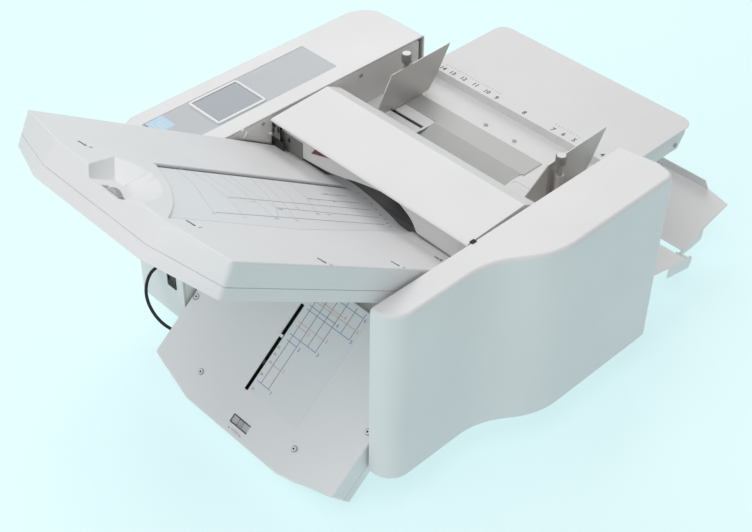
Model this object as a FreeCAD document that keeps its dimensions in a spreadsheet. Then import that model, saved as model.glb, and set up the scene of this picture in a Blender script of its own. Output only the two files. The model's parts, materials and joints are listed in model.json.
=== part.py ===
import FreeCAD, Part
import math
import os
import re
import Sketcher
from FreeCAD import Placement, Rotation, Vector

# A desk-top paper folding machine: two side housings carry a roller block, two buckle plates,
# a feed table with side guides and a delivery deck with a folding tray.
# Machine frame while it is drawn: +X towards the feed table, Y = 0 on the paper's centre line,
# Z = 0 on the desk. The last step centres the machine over the origin.

SIZES = [
    # frame and housings
    ("inner_width", 351, "clear width between the two side frames"),
    ("sheet_frame", 3, "side frame sheet"),
    ("fit_gap", 0.3, "gap between pieces that are screwed or slide together"),
    ("cover_top", 322, "height of the housings"),
    ("cover_bottom", 59, "underside of the housings"),
    ("cover_wall", 3, "moulded wall"),
    ("cover_length", 442, "length of the housings"),
    ("near_taper", 8, "how much the near housing shortens towards the paper"),
    ("near_thin", 36.5, "depth of the near housing beside the plates"),
    ("near_thick", 82, "depth of the near housing beside the drive"),
    ("step_start", 151, "start of the S-shaped step"),
    ("step_end", 219, "end of the S-shaped step"),
    ("step_round", 105, "radius of both bends of the step"),
    ("near_left_round", 30, "plan radius, left end of the near housing"),
    ("near_right_round", 14, "plan radius, right end of the near housing"),
    ("far_deep", 119, "depth of the far housing"),
    ("far_left_round", 35, "plan radius, left end of the far housing"),
    ("far_right_round", 42, "plan radius, right end of the far housing"),
    ("rim_round", 5, "soft top edge of both housings"),
    # control panel
    ("panel_start", 45, "left end of the control panel"),
    ("panel_end", 299, "right end of the control panel"),
    ("panel_near", 25, "panel edge from the far frame"),
    ("panel_far", 94, "far panel edge from the far frame"),
    ("panel_inset", 2, "depth of the panel seat"),
    ("bezel_start", 99, "left edge of the screen bezel"),
    ("bezel_end", 179.5, "right edge of the screen bezel"),
    ("bezel_rise", 1.6, "bezel above the panel"),
    ("bezel_frame", 3.5, "bezel frame width"),
    # base
    ("foot_height", 14, "rubber foot"),
    ("foot_radius", 17, "rubber foot radius"),
    ("plinth_start", 66, "left end of the plinth"),
    ("plinth_end", 420, "right end of the plinth"),
    ("plinth_width", 290, "plinth width"),
    ("pan_start", 46, "left end of the base sheet, clear of the lower plate"),
    ("sheet_base", 2, "base sheet"),
    # upper buckle plate
    ("upper_x", 17.7, "upper plate datum"),
    ("upper_z", 367.7, "upper plate datum height"),
    ("upper_tilt", 32.5, "slope of the upper plate"),
    ("upper_outer", 247, "top outline, outer end from the datum"),
    ("upper_inner", 188, "machine end from the datum"),
    ("upper_throat", 36, "paper path below the top face"),
    ("upper_depth", 42.3, "depth of the upper plate"),
    ("bowl_inset", 10, "upper thumbwheel and its bowl from the outer end of the plate"),
    ("bowl_shift", 4, "upper thumbwheel on the near side of the centre line"),
    ("bowl_round", 105, "long curve of the bowl at the top face"),
    ("bowl_floor_round", 36, "long curve of the bowl's floor"),
    ("bowl_depth", 12, "depth of the bowl"),
    ("wheel_radius", 15, "upper thumbwheel"),
    ("wheel_sink", 8, "rim of the upper thumbwheel below the plate's top face"),
    ("wheel_width", 8, "width of both thumbwheels"),
    ("wheel_play", 1, "gap between a thumbwheel and its well"),
    ("lower_x", 92, "lower plate datum"),
    ("lower_z", 174.2, "lower plate datum height"),
    ("lower_tilt", 40, "slope of the lower plate"),
    ("lower_outer", 214.6, "outer end of the lower plate"),
    ("lower_inner", 11, "machine end of the lower plate"),
    ("lower_throat", 32, "paper path below the top face"),
    ("lower_depth", 42, "depth of the lower plate"),
    ("dial_inset", 19.1, "dial window from the outer end of the lower plate"),
    ("dial_shift", 4.5, "dial window on the near side of the centre line"),
    ("dial_long", 29, "dial window across the plate"),
    ("dial_wide", 10.2, "dial window along the plate"),
    ("dial_radius", 16, "lower thumbwheel"),
    ("dial_sink", 1, "rim of the lower thumbwheel below the plate's top face"),
    ("plate_half", 172, "half the width of both plates"),
    ("plate_split", 28, "depth of the upper shells"),
    ("plate_wall", 3, "shell wall"),
    ("plate_skin", 5.5, "top wall of the upper shells"),
    ("deck_inset", 3, "inset of the upper plate's scale deck"),
    ("deck_slope", 5, "run of the soft slope along the scale deck"),
    ("deck_round", 315, "curved outer end of the scale deck"),
    ("tongue_round", 425, "curved end of the tongue at the machine end"),
    ("slit_side", 56.5, "upper slit from the centre line"),
    ("slit_width", 2.5, "width of the upper slit"),
    ("slot_side", 18, "lower slot from the centre line"),
    ("slot_width", 5, "width of the lower slot"),
    ("sheet_fold", 1, "fold sheet"),
    ("throat_gap", 2, "gap between fold sheets"),
    # rollers
    ("roller_pitch", 14, "half the distance between fold roller axes"),
    ("nip_gap", 0.3, "gap in the nip at rest"),
    ("nip_reach", 230, "first nip from the upper plate's datum"),
    ("roller_half", 170, "half the length of the roller covering"),
    ("shaft_radius", 5, "roller shaft"),
    ("bearing_radius", 9, "bearing outer radius"),
    ("running_fit", 0.05, "radial play of shafts"),
    ("gear_module", 1.75, "gear module"),
    ("gear_width", 12, "gear width"),
    ("feed_radius", 16.5, "feed roller radius"),
    ("feed_half", 30, "half the width of the feed roller's tyre"),
    ("exit_radius", 11, "exit roller radius"),
    ("exit_inset", 14.7, "exit roller axis from the table end of the side frames"),
    ("chute_gap", 24.6, "upper end of the exit chute from fold roller 4's axis"),
    ("chute_slope", 20, "slope of the exit chute"),
    ("chute_overhang", 20, "lower chute sheet beyond the exit roller's axis"),
    ("chute_short", 27, "upper chute sheet before the exit roller's axis"),
    ("motor_x", 330, "drive motor"),
    ("motor_z", 180, "drive motor height"),
    ("motor_radius", 28, "drive motor can"),
    ("motor_length", 84, "drive motor can"),
    ("pulley_radius", 14, "pulleys on the rollers"),
    ("motor_pulley_radius", 9, "motor pulley"),
    ("pulley_width", 8, "pulley width"),
    ("belt_thickness", 1.6, "belt thickness"),
    # feed
    ("deck_level", 261, "top of the feed deck"),
    ("deck_start", 339, "machine end of the feed deck"),
    ("deck_end", 447, "table end of the feed deck"),
    ("sheet_deck", 1.2, "feed deck sheet"),
    ("table_step", 13, "feed table above the feed deck"),
    ("table_end", 604, "free end of the feed table"),
    ("table_half", 171.5, "half the width of the feed table"),
    ("table_corner", 18, "rounded corners of the feed table"),
    ("guide_fold", 363, "fold line of the guide sheet"),
    ("guide_end", 399, "table end of the guide sheet"),
    ("guide_slope", 11.7, "slope of the guide sheet below its fold"),
    ("guide_drop_run", 128, "sloping length of the guide sheet"),
    ("guide_half", 78, "half the width of the sloping part"),
    ("guide_run_to_feed", 105, "feed roller from the fold line"),
    ("pad_thickness", 3, "separator pad"),
    ("paper_half", 136, "side guides from the centre line at rest"),
    ("blade_sheet", 1.5, "side guide sheet"),
    # top cover
    ("lid_half", 171.7, "half the width of the top cover"),
    ("lid_hinge_x", 168, "hinge line of the top cover"),
    ("lid_hinge_z", 310, "hinge line height"),
    ("lid_pin", 2.5, "hinge pin radius"),
    ("guard_half", 166, "half the width of the inner guard"),
    ("guard_setback", 4.6, "back face of the inner guard from the hinge line"),
    # delivery
    ("delivery_half", 200.5, "half the width of the delivery deck"),
    ("tray_half", 185.5, "half the width of the folding tray"),
    ("delivery_gap", 30, "start of the delivery deck from the exit roller's axis"),
    ("delivery_drop", 4, "delivery deck below the end of the chute"),
    ("delivery_slope", 12, "slope of the delivery deck"),
    ("delivery_run", 166, "length of the delivery deck"),
    ("tray_reach", 1.2, "hinge line beyond the delivery deck"),
    ("tray_drop", 2.8, "hinge line below the delivery deck"),
    ("tray_slope", 14.6, "rise of the tray"),
    ("tray_run", 121, "length of the tray"),
    ("tray_sheet", 1.5, "delivery sheets"),
    # lead
    ("lead_diameter", 4.5, "signal lead of the lower plate"),
]

doc = FreeCAD.newDocument("PaperFolder")
sheet = doc.addObject("Spreadsheet::Sheet", "Sizes")
for row, (alias, number, meaning) in enumerate(SIZES, 1):
    sheet.set("A%d" % row, str(number))
    sheet.setAlias("A%d" % row, alias)
    sheet.set("B%d" % row, "'" + meaning)
doc.recompute()

ALIASES = {row[0] for row in SIZES}

# Lengths that follow from the driving sizes.
DERIVED = {
    "half_inner": "inner_width/2",
    "near_back": "half_inner + near_thin",
    "near_deep_back": "half_inner + near_thick",
    "far_back": "half_inner + far_deep",
    "frame_start": "cover_wall + fit_gap",
    "frame_end": "cover_length - near_taper - cover_wall - fit_gap",
    "frame_low": "cover_bottom + cover_wall + fit_gap",
    "frame_high": "cover_top - cover_wall - fit_gap",
    "frame_outer": "half_inner + sheet_frame",
    "upper_cos": "cos(upper_tilt * 1 deg)",
    "upper_sin": "sin(upper_tilt * 1 deg)",
    "lower_cos": "cos(lower_tilt * 1 deg)",
    "lower_sin": "sin(lower_tilt * 1 deg)",
    "nip_x": "upper_x + nip_reach*upper_cos - upper_throat*upper_sin",
    "nip_z": "upper_z - nip_reach*upper_sin - upper_throat*upper_cos",
    "roller_radius": "roller_pitch - nip_gap/2",
    "fold_roller_2_x": "nip_x - roller_pitch*upper_sin",
    "fold_roller_2_z": "nip_z - roller_pitch*upper_cos",
    "fold_roller_1_x": "nip_x + roller_pitch*upper_sin",
    "fold_roller_1_z": "nip_z + roller_pitch*upper_cos",
    "fold_roller_3_x": "fold_roller_2_x + 2*roller_pitch*cos(150 deg)",
    "fold_roller_3_z": "fold_roller_2_z + 2*roller_pitch*sin(150 deg)",
    "fold_roller_4_x": "fold_roller_2_x + 2*roller_pitch*cos(240 deg)",
    "fold_roller_4_z": "fold_roller_2_z + 2*roller_pitch*sin(240 deg)",
    "guide_cos": "cos(guide_slope * 1 deg)",
    "guide_sin": "sin(guide_slope * 1 deg)",
    "guide_top": "deck_level + sheet_deck",
    "feed_lift": "feed_radius + pad_thickness + nip_gap + fit_gap",
    "feed_x": "guide_fold - guide_run_to_feed*guide_cos - feed_lift*guide_sin",
    "feed_z": "guide_top - guide_run_to_feed*guide_sin + feed_lift*guide_cos",
    "exit_x": "frame_end - exit_inset",
    "chute_x": "fold_roller_4_x + chute_gap",
    "chute_z": "fold_roller_4_z",
    "chute_run": "(exit_x + chute_overhang - chute_x)/cos(chute_slope * 1 deg)",
    "chute_end_z": "chute_z - chute_run*sin(chute_slope * 1 deg)",
    "delivery_x": "exit_x + delivery_gap",
    "delivery_z": "chute_end_z - delivery_drop",
    "tray_x": "delivery_x + (delivery_run + tray_reach)*cos(delivery_slope * 1 deg)"
              " - tray_drop*sin(delivery_slope * 1 deg)",
    "tray_z": "delivery_z - (delivery_run + tray_reach)*sin(delivery_slope * 1 deg)"
              " - tray_drop*cos(delivery_slope * 1 deg)",
    "table_level": "deck_level + table_step",
    "guard_back": "lid_hinge_x + guard_setback",
    "bowl_u": "-(upper_outer - bowl_inset)",
    "bowl_v": "-bowl_shift",
    "wheel_w": "-(wheel_radius + wheel_sink)",
    "dial_u": "-(lower_outer - dial_inset)",
    "dial_v": "-dial_shift",
    "dial_w": "-(dial_radius + dial_sink)",
    "switch_z": "cover_bottom + 64",
    "inlet_z": "cover_bottom + 99",
    "exit_z": "chute_z - (exit_x - chute_x)*tan(chute_slope * 1 deg)"
              " + (exit_radius + 1)/cos(chute_slope * 1 deg)",
    "gear_near": "frame_outer + sheet_frame + fit_gap",
    "first_plane": "gear_near + gear_width + 3",
    "second_plane": "first_plane + pulley_width + 2",
    "panel_floor": "cover_top - panel_inset",
    "table_sheet": "1.5",
}


def bound(text):
    """The expression text with every size and derived length written out for the sheet."""
    def swap(match):
        word = match.group(0)
        if word in DERIVED:
            return "(" + bound(DERIVED[word]) + ")"
        return "Sizes." + word if word in ALIASES else word
    return re.sub(r"[a-z_][a-z_0-9]*", swap, str(text))


def value(text):
    """The number that an expression gives now."""
    if isinstance(text, (int, float)):
        return float(text)
    answer = sheet.evalExpression(bound(text))
    return float(getattr(answer, "Value", answer))


def link(obj, prop, text):
    """Bind a property to an expression of the sheet."""
    obj.setExpression(prop, bound(text))


def place(obj, x="0", y="0", z="0", axis=None, angle="0"):
    """Bind where an object stands and how it is turned about one axis."""
    turn = Rotation(Vector(*axis), value(angle)) if axis else Rotation()
    obj.Placement = Placement(Vector(value(x), value(y), value(z)), turn)
    for letter, text in zip("xyz", (x, y, z)):
        link(obj, "Placement.Base." + letter, text)
    if axis and not isinstance(angle, (int, float)) and re.search("[a-z]", angle):
        link(obj, "Placement.Rotation.Angle", "(%s) * 1 deg" % angle)
    return obj


NODES = []


def node(obj, label):
    """Name a finished sub-part."""
    obj.Label = label
    NODES.append(obj)
    return obj


# ---------------------------------------------------------------- part primitives
def box(x0, x1, y0, y1, z0, z1):
    """A plain block between two corners."""
    block = doc.addObject("Part::Box", "Block")
    link(block, "Length", "(%s) - (%s)" % (x1, x0))
    link(block, "Width", "(%s) - (%s)" % (y1, y0))
    link(block, "Height", "(%s) - (%s)" % (z1, z0))
    return place(block, x0, y0, z0)


def rod(x, z, y0, y1, radius):
    """A round bar along Y between y0 and y1."""
    bar = doc.addObject("Part::Cylinder", "Rod")
    link(bar, "Radius", radius)
    link(bar, "Height", "(%s) - (%s)" % (y1, y0))
    return place(bar, x, y0, z, (1, 0, 0), -90)


def post(x, y, z0, z1, radius):
    """A round upright between z0 and z1."""
    bar = doc.addObject("Part::Cylinder", "Post")
    link(bar, "Radius", radius)
    link(bar, "Height", "(%s) - (%s)" % (z1, z0))
    return place(bar, x, y, z0)


def strip(x, z, run, angle, thickness, y0, y1):
    """A flat sheet that runs from (x, z) along an angle, its thickness below that line."""
    block = doc.addObject("Part::Box", "Strip")
    link(block, "Length", run)
    link(block, "Width", "(%s) - (%s)" % (y1, y0))
    link(block, "Height", thickness)
    turned = "-(%s)" % angle
    drop_x = "(%s) + (%s)*sin((%s) * 1 deg)" % (x, thickness, angle)
    drop_z = "(%s) - (%s)*cos((%s) * 1 deg)" % (z, thickness, angle)
    block.Placement = Placement(Vector(value(drop_x), value(y0), value(drop_z)),
                                Rotation(Vector(0, 1, 0), value(turned)))
    link(block, "Placement.Base.x", drop_x)
    link(block, "Placement.Base.y", y0)
    link(block, "Placement.Base.z", drop_z)
    return block


def fused(parts):
    """One solid of several."""
    joined = doc.addObject("Part::MultiFuse", "Joined")
    joined.Shapes = parts
    joined.Refine = True
    return joined


def less(base, tools):
    """The base with the tools cut away."""
    tool = tools[0] if len(tools) == 1 else fused(tools)
    cut = doc.addObject("Part::Cut", "Cut")
    cut.Base = base
    cut.Tool = tool
    cut.Refine = True
    return cut


def together(parts):
    """Separate solids that share one node."""
    group = doc.addObject("Part::Compound", "Group")
    group.Links = parts
    return group


# ---------------------------------------------------------------- bodies
PLANES = {"z": ("XY_Plane", 1), "y": ("XZ_Plane", -1), "x": ("YZ_Plane", 1)}


def sketch_on(body, axis, level, loops):
    """A sketch square to an axis at a level, with every corner bound to the sheet."""
    role, sense = PLANES[axis]
    sketch = body.newObject("Sketcher::SketchObject", "Outline")
    plane = [item for item in body.Origin.OriginFeatures if item.Role == role][0]
    sketch.AttachmentSupport = (plane, "")
    sketch.MapMode = "FlatFace"
    offset = "%d*(%s)" % (sense, level)
    sketch.AttachmentOffset = Placement(Vector(0, 0, value(offset)), Rotation())
    link(sketch, "AttachmentOffset.Base.z", offset)
    for loop in loops:
        if isinstance(loop, tuple):
            circle_in(sketch, *loop)
        else:
            polygon_in(sketch, loop)
    return sketch


def circle_in(sketch, across, up, radius):
    centre = Vector(value(across), value(up), 0)
    ring = sketch.addGeometry(Part.Circle(centre, Vector(0, 0, 1), value(radius)), False)
    pin_point(sketch, ring, 3, across, up)
    rule = sketch.addConstraint(Sketcher.Constraint("Radius", ring, value(radius)))
    link(sketch, "Constraints[%d]" % rule, radius)


def polygon_in(sketch, corners):
    """A closed outline; a corner with a third term is a point near an arc, and that term its radius."""
    spots = [Vector(value(corner[0]), value(corner[1]), 0) for corner in corners]
    ends = [index for index, corner in enumerate(corners) if len(corner) == 2]
    joints = []
    for here, there in zip(ends, ends[1:] + ends[:1]):
        arc = corners[here + 1] if here + 1 < len(corners) and len(corners[here + 1]) == 3 else None
        if arc:
            edge = Part.Arc(spots[here], spots[here + 1], spots[there])
        else:
            edge = Part.LineSegment(spots[here], spots[there])
        made = sketch.addGeometry(edge, False)
        forward = (sketch.getPoint(made, 1) - spots[here]).Length < 1e-6
        joints.append((made, 1, 2) if forward else (made, 2, 1))
        if arc:
            rule = sketch.addConstraint(Sketcher.Constraint("Radius", made, value(arc[2])))
            link(sketch, "Constraints[%d]" % rule, arc[2])
    for (made, _, last), (following, first, _) in zip(joints, joints[1:] + joints[:1]):
        sketch.addConstraint(Sketcher.Constraint("Coincident", made, last, following, first))
    for (made, first, _), here in zip(joints, ends):
        pin_point(sketch, made, first, *corners[here])


def pin_point(sketch, geometry, end, across, up):
    """Tie one point of a sketch to the sheet, measured from the sketch's origin."""
    for kind, text in (("DistanceX", across), ("DistanceY", up)):
        rule = sketch.addConstraint(Sketcher.Constraint(kind, -1, 1, geometry, end, value(text)))
        if re.search("[a-z]", str(text)):
            link(sketch, "Constraints[%d]" % rule, text)


def new_body(name):
    return doc.addObject("PartDesign::Body", name)


def grow(body, axis, low, high, *loops):
    """Pad an outline that is square to an axis from low to high."""
    sketch = sketch_on(body, axis, low if PLANES[axis][1] > 0 else high, loops)
    pad = body.newObject("PartDesign::Pad", "Pad")
    pad.Profile = sketch
    link(pad, "Length", "(%s) - (%s)" % (high, low))
    doc.recompute()
    return pad


def carve(body, axis, low, high, *loops):
    """Pocket an outline that is square to an axis from low to high."""
    before = body.Shape.Volume
    sketch = sketch_on(body, axis, high if PLANES[axis][1] > 0 else low, loops)
    pocket = body.newObject("PartDesign::Pocket", "Pocket")
    pocket.Profile = sketch
    link(pocket, "Length", "(%s) - (%s)" % (high, low))
    doc.recompute()
    if body.Shape.Volume >= before:
        raise RuntimeError("a pocket of %s cuts nothing" % body.Label)
    return pocket


def soften(body, radius, pick, kind="PartDesign::Fillet"):
    """Round or bevel the edges that pick(edge) names."""
    base = body.Tip
    names = ["Edge%d" % (index + 1) for index, edge in enumerate(base.Shape.Edges) if pick(edge)]
    if not names:
        raise RuntimeError("no edge to round on %s" % body.Label)
    feature = body.newObject(kind, "Soft")
    feature.Base = (base, names)
    link(feature, "Radius" if kind.endswith("Fillet") else "Size", radius)
    doc.recompute()
    return feature


def edges_at(first, second, corners):
    """Picks the edges square to two axes that pass through the given corners in those axes."""
    spots = [(value(one), value(two)) for one, two in corners]

    def pick(edge):
        a, b = edge.Vertexes[0].Point, edge.Vertexes[-1].Point
        here = (getattr(a, first), getattr(a, second))
        there = (getattr(b, first), getattr(b, second))
        return math.dist(here, there) < 1e-3 and any(math.dist(here, spot) < 0.05 for spot in spots)
    return pick


def upright_at(*corners):
    """Picks the edges parallel to Z that stand at the given plan corners."""
    return edges_at("x", "y", corners)


def level_edges(height, *, y_beyond=None):
    """Picks the edges that lie at one height, on the outer side of a housing."""
    top = value(height)

    def pick(edge):
        box_ = edge.BoundBox
        flat = abs(box_.ZMin - top) < 1e-3 and abs(box_.ZMax - top) < 1e-3
        return flat and (y_beyond is None or abs(box_.Center.y) > y_beyond)
    return pick


def shelled(body, wall, face_at):
    """Hollow a body from the face whose centre lies in the given plane."""
    base = body.Tip
    axis, place_text = face_at
    spot = value(place_text)
    names = []
    for index, face in enumerate(base.Shape.Faces):
        limits = face.BoundBox
        low = getattr(limits, axis + "Min")
        high = getattr(limits, axis + "Max")
        if abs(low - spot) < 1e-3 and abs(high - spot) < 1e-3:
            names.append("Face%d" % (index + 1))
    hollow = body.newObject("PartDesign::Thickness", "Hollow")
    hollow.Base = (base, names)
    link(hollow, "Value", wall)
    hollow.Reversed = True
    doc.recompute()
    return hollow


# ---------------------------------------------------------------- housings
def near_cover():
    """The slim moulded housing with its S-shaped step, open towards the frame."""
    body = new_body("NearCover")
    corners = [("0", "-half_inner"), ("0", "-near_back"), ("step_start", "-near_back"),
               ("step_end", "-near_deep_back"), ("cover_length - 6", "-near_deep_back"),
               ("cover_length", "-near_deep_back + 30"), ("cover_length - near_taper", "-half_inner")]
    grow(body, "z", "cover_bottom", "cover_top", corners)
    soften(body, "near_left_round", upright_at(corners[1]))
    soften(body, "step_round", upright_at(corners[2], corners[3]))
    soften(body, "near_right_round", upright_at(corners[4], corners[5]))
    soften(body, "rim_round", level_edges("cover_top", y_beyond=value("half_inner") + 8))
    shelled(body, "cover_wall", ("Y", "-half_inner"))
    return node(body, "near_cover")


def far_cover():
    """The deep housing that carries the controls."""
    body = new_body("FarCover")
    corners = [("0", "half_inner"), ("cover_length", "half_inner"), ("cover_length", "far_back"),
               ("0", "far_back")]
    grow(body, "z", "cover_bottom", "cover_top", corners)
    soften(body, "far_right_round", upright_at(corners[2]))
    soften(body, "far_left_round", upright_at(corners[3]))
    soften(body, "rim_round", level_edges("cover_top", y_beyond=value("half_inner") + 8))
    shelled(body, "cover_wall", ("Y", "half_inner"))
    carve(body, "z", "panel_floor", "cover_top + 1",
          [("panel_start", "half_inner + panel_near"), ("panel_end", "half_inner + panel_near"),
           ("panel_end", "half_inner + panel_far"), ("panel_start", "half_inner + panel_far")])
    carve(body, "x", "-1", "cover_wall + 1", rocker_window(), inlet_window(), LEAD_HOLE)
    return node(body, "far_cover")


def window(low, high, middle, half, play):
    """A rectangular window in the far cover's end face, in Y from the far frame and Z."""
    return [("half_inner + %s + %s" % (low, play), "%s - %s + %s" % (middle, half, play)),
            ("half_inner + %s - %s" % (high, play), "%s - %s + %s" % (middle, half, play)),
            ("half_inner + %s - %s" % (high, play), "%s + %s - %s" % (middle, half, play)),
            ("half_inner + %s + %s" % (low, play), "%s + %s - %s" % (middle, half, play))]


def rocker_window(play="0"):
    """The window of the power switch."""
    return window("15", "33", "switch_z", "13", play)


def inlet_window(play="0"):
    """The window of the mains inlet."""
    return window("14", "42", "inlet_z", "10", play)


LEAD_HOLE = ("half_inner + 49", "132", "lead_diameter/2")


def controls():
    """Panel, screen and the electrics inside the far housing."""
    panel = new_body("ControlPanel")
    grow(panel, "z", "panel_floor", "cover_top - 0.6",
         [("panel_start + fit_gap", "half_inner + panel_near + fit_gap"),
          ("panel_end - fit_gap", "half_inner + panel_near + fit_gap"),
          ("panel_end - fit_gap", "half_inner + panel_far - fit_gap"),
          ("panel_start + fit_gap", "half_inner + panel_far - fit_gap")])
    node(panel, "control_panel")
    bezel = new_body("ScreenBezel")
    outer = [("bezel_start", "half_inner + panel_near + 3"), ("bezel_end", "half_inner + panel_near + 3"),
             ("bezel_end", "half_inner + panel_far - 3"), ("bezel_start", "half_inner + panel_far - 3")]
    inner = [("bezel_start + bezel_frame", "half_inner + panel_near + 3 + bezel_frame"),
             ("bezel_end - bezel_frame", "half_inner + panel_near + 3 + bezel_frame"),
             ("bezel_end - bezel_frame", "half_inner + panel_far - 3 - bezel_frame"),
             ("bezel_start + bezel_frame", "half_inner + panel_far - 3 - bezel_frame")]
    grow(bezel, "z", "cover_top - 0.6", "cover_top - 0.6 + bezel_rise", outer, inner)
    soften(bezel, "5", upright_at(*outer))
    node(bezel, "screen_bezel")
    screen = box("bezel_start + bezel_frame + 0.1", "bezel_end - bezel_frame - 0.1",
                 "half_inner + panel_near + 3.1 + bezel_frame",
                 "half_inner + panel_far - 3.1 - bezel_frame",
                 "cover_top - 0.6", "cover_top - 0.6 + bezel_rise*0.5")
    node(screen, "touch_screen")
    board = [box("panel_start + 20", "panel_end - 20", "half_inner + panel_near + 6",
                 "half_inner + panel_far - 6", "cover_top - 24", "cover_top - 22.4")]
    for x in ("panel_start + 26", "panel_end - 26"):
        for y in ("half_inner + panel_near + 12", "half_inner + panel_far - 12"):
            board.append(post(x, y, "cover_top - 22.4", "cover_top - cover_wall", "3"))
    node(fused(board), "control_board")
    supply = box("150", "300", "frame_outer", "frame_outer + 62", "cover_bottom + 21", "cover_bottom + 69")
    node(supply, "power_supply")
    socket = less(box("0", "22", "half_inner + 14 + fit_gap", "half_inner + 42 - fit_gap",
                      "inlet_z - 10 + fit_gap", "inlet_z + 10 - fit_gap"),
                  [box("-1", "15", "half_inner + 18", "half_inner + 38", "inlet_z - 7", "inlet_z + 7")])
    blades = [box("5", "16", "half_inner + 28 + %d - 0.8" % dy, "half_inner + 28 + %d + 0.8" % dy,
                  "inlet_z + %d - 2" % dz, "inlet_z + %d + 2" % dz) for dy, dz in ((-6, -1), (0, 2), (6, -1))]
    node(fused([socket] + blades), "power_inlet")
    frame = less(box("-1.2", "20", "half_inner + 15 + fit_gap", "half_inner + 33 - fit_gap",
                     "switch_z - 13 + fit_gap", "switch_z + 13 - fit_gap"),
                 [box("-2", "16", "half_inner + 17.5", "half_inner + 30.5", "switch_z - 10.5",
                      "switch_z + 10.5")])
    pivot = rod("6", "switch_z", "half_inner + 17", "half_inner + 31", "1.5")
    node(fused([frame, pivot]), "switch_frame")


def power_switch():
    """The rocker of the power switch, which tilts about its middle."""
    body = new_body("PowerSwitch")
    grow(body, "y", "half_inner + 17.8", "half_inner + 30.2",
         [("-2.5", "switch_z - 8.2"), ("0.6", "switch_z"), ("-1", "switch_z + 8.2"),
          ("10", "switch_z + 6"), ("12", "switch_z"), ("10", "switch_z - 6")])
    carve(body, "y", "half_inner + 16", "half_inner + 32", ("6", "switch_z", "1.5 + running_fit"))
    return node(body, "power_switch")


# ---------------------------------------------------------------- frame
def shaft_centres():
    spots = [("fold_roller_%d_x" % n, "fold_roller_%d_z" % n) for n in (1, 2, 3, 4)]
    return spots + [("feed_x", "feed_z"), ("exit_x", "exit_z")]


def side_frame(label, low, high):
    """A flat sheet in the mouth of its housing, bored for the bearings."""
    body = new_body("SideFrame")
    top_corners = [("frame_end", "frame_high"), ("frame_start", "frame_high")]
    grow(body, "y", low, high, [("frame_start", "frame_low"), ("frame_end", "frame_low")] + top_corners)
    soften(body, "rim_round", edges_at("x", "z", top_corners))
    holes = [(x, z, "bearing_radius") for x, z in shaft_centres()]
    if label.startswith("near"):
        holes.append(("motor_x", "motor_z", "shaft_radius + 3"))
    carve(body, "y", low + " - 1", high + " + 1", *holes)
    return node(body, label)


def frame_parts():
    side_frame("near_side_frame", "-frame_outer", "-half_inner")
    side_frame("far_side_frame", "half_inner", "frame_outer")
    bars = [rod(x, z, "-half_inner", "half_inner", "5")
            for x, z in (("150", "cover_bottom + 23"), ("exit_x - 36", "chute_end_z - 4"),
                         ("frame_end - 30.7", "deck_level - 35"))]
    node(together(bars), "frame_tie_bars")
    plates = [box("pan_start", "frame_end", "-half_inner + fit_gap", "half_inner - fit_gap",
                  "cover_bottom", "cover_bottom + sheet_base")]
    for sign in ("-", ""):
        low, high = ("-half_inner + fit_gap", "-half_inner + fit_gap + sheet_base")
        if not sign:
            low, high = ("half_inner - fit_gap - sheet_base", "half_inner - fit_gap")
        plates.append(box("pan_start", "frame_end", low, high, "cover_bottom", "cover_bottom + 18"))
    plinth = less(box("plinth_start", "plinth_end", "-plinth_width/2", "plinth_width/2",
                      "foot_height", "cover_bottom"),
                  [box("plinth_start + sheet_base", "plinth_end - sheet_base",
                       "-plinth_width/2 + sheet_base", "plinth_width/2 - sheet_base",
                       "foot_height + sheet_base", "cover_bottom")])
    node(fused(plates + [plinth]), "base_pan")
    feet = []
    for x in ("plinth_start + 26", "plinth_end - 26"):
        for y in ("-plinth_width/2 + 26", "plinth_width/2 - 26"):
            feet.append(foot(x, y))
    node(together(feet), "rubber_feet")


def foot(x, y):
    """A tapered rubber foot."""
    cone = doc.addObject("Part::Cone", "Foot")
    link(cone, "Radius1", "foot_radius - 2")
    link(cone, "Radius2", "foot_radius")
    link(cone, "Height", "foot_height")
    return place(cone, x, y, "0")


# ---------------------------------------------------------------- buckle plates
def plate_outline(outer, inner, corner, grow_by):
    """The plan of a plate shell: straight machine end, blunt outer end."""
    return [(inner, "-plate_half"), (inner, "plate_half"),
            ("-%s + %s" % (outer, corner), "plate_half"), ("-%s - %s" % (outer, grow_by), "88"),
            ("-%s - %s" % (outer, grow_by), "-88"), ("-%s + %s" % (outer, corner), "-plate_half")]


def loft_between(body, low, low_loop, high, high_loop):
    """A straight-sided loft between two outlines square to the plate."""
    bottom = sketch_on(body, "z", low, [low_loop])
    top = sketch_on(body, "z", high, [high_loop])
    loft = body.newObject("PartDesign::AdditiveLoft", "Loft")
    loft.Profile = bottom
    loft.Sections = [top]
    loft.Ruled = True
    doc.recompute()
    return loft


def inset(outer, inner, corner, wall, open_end):
    """The hollow inside a shell; an open end runs out past the machine end."""
    end = "%s + 5" % inner if open_end else "%s - %s" % (inner, wall)
    half = "plate_half - %s" % wall
    return [(end, "-(%s)" % half), (end, half), ("-%s + %s" % (outer, corner), half),
            ("-%s + %s" % (outer, corner), "-(%s)" % half)]


def seat_upper(body):
    return place(body, "upper_x", "0", "upper_z", (0, 1, 0), "upper_tilt")


def seat_lower(body):
    return place(body, "lower_x", "0", "lower_z", (0, -1, 0), "lower_tilt")


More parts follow.
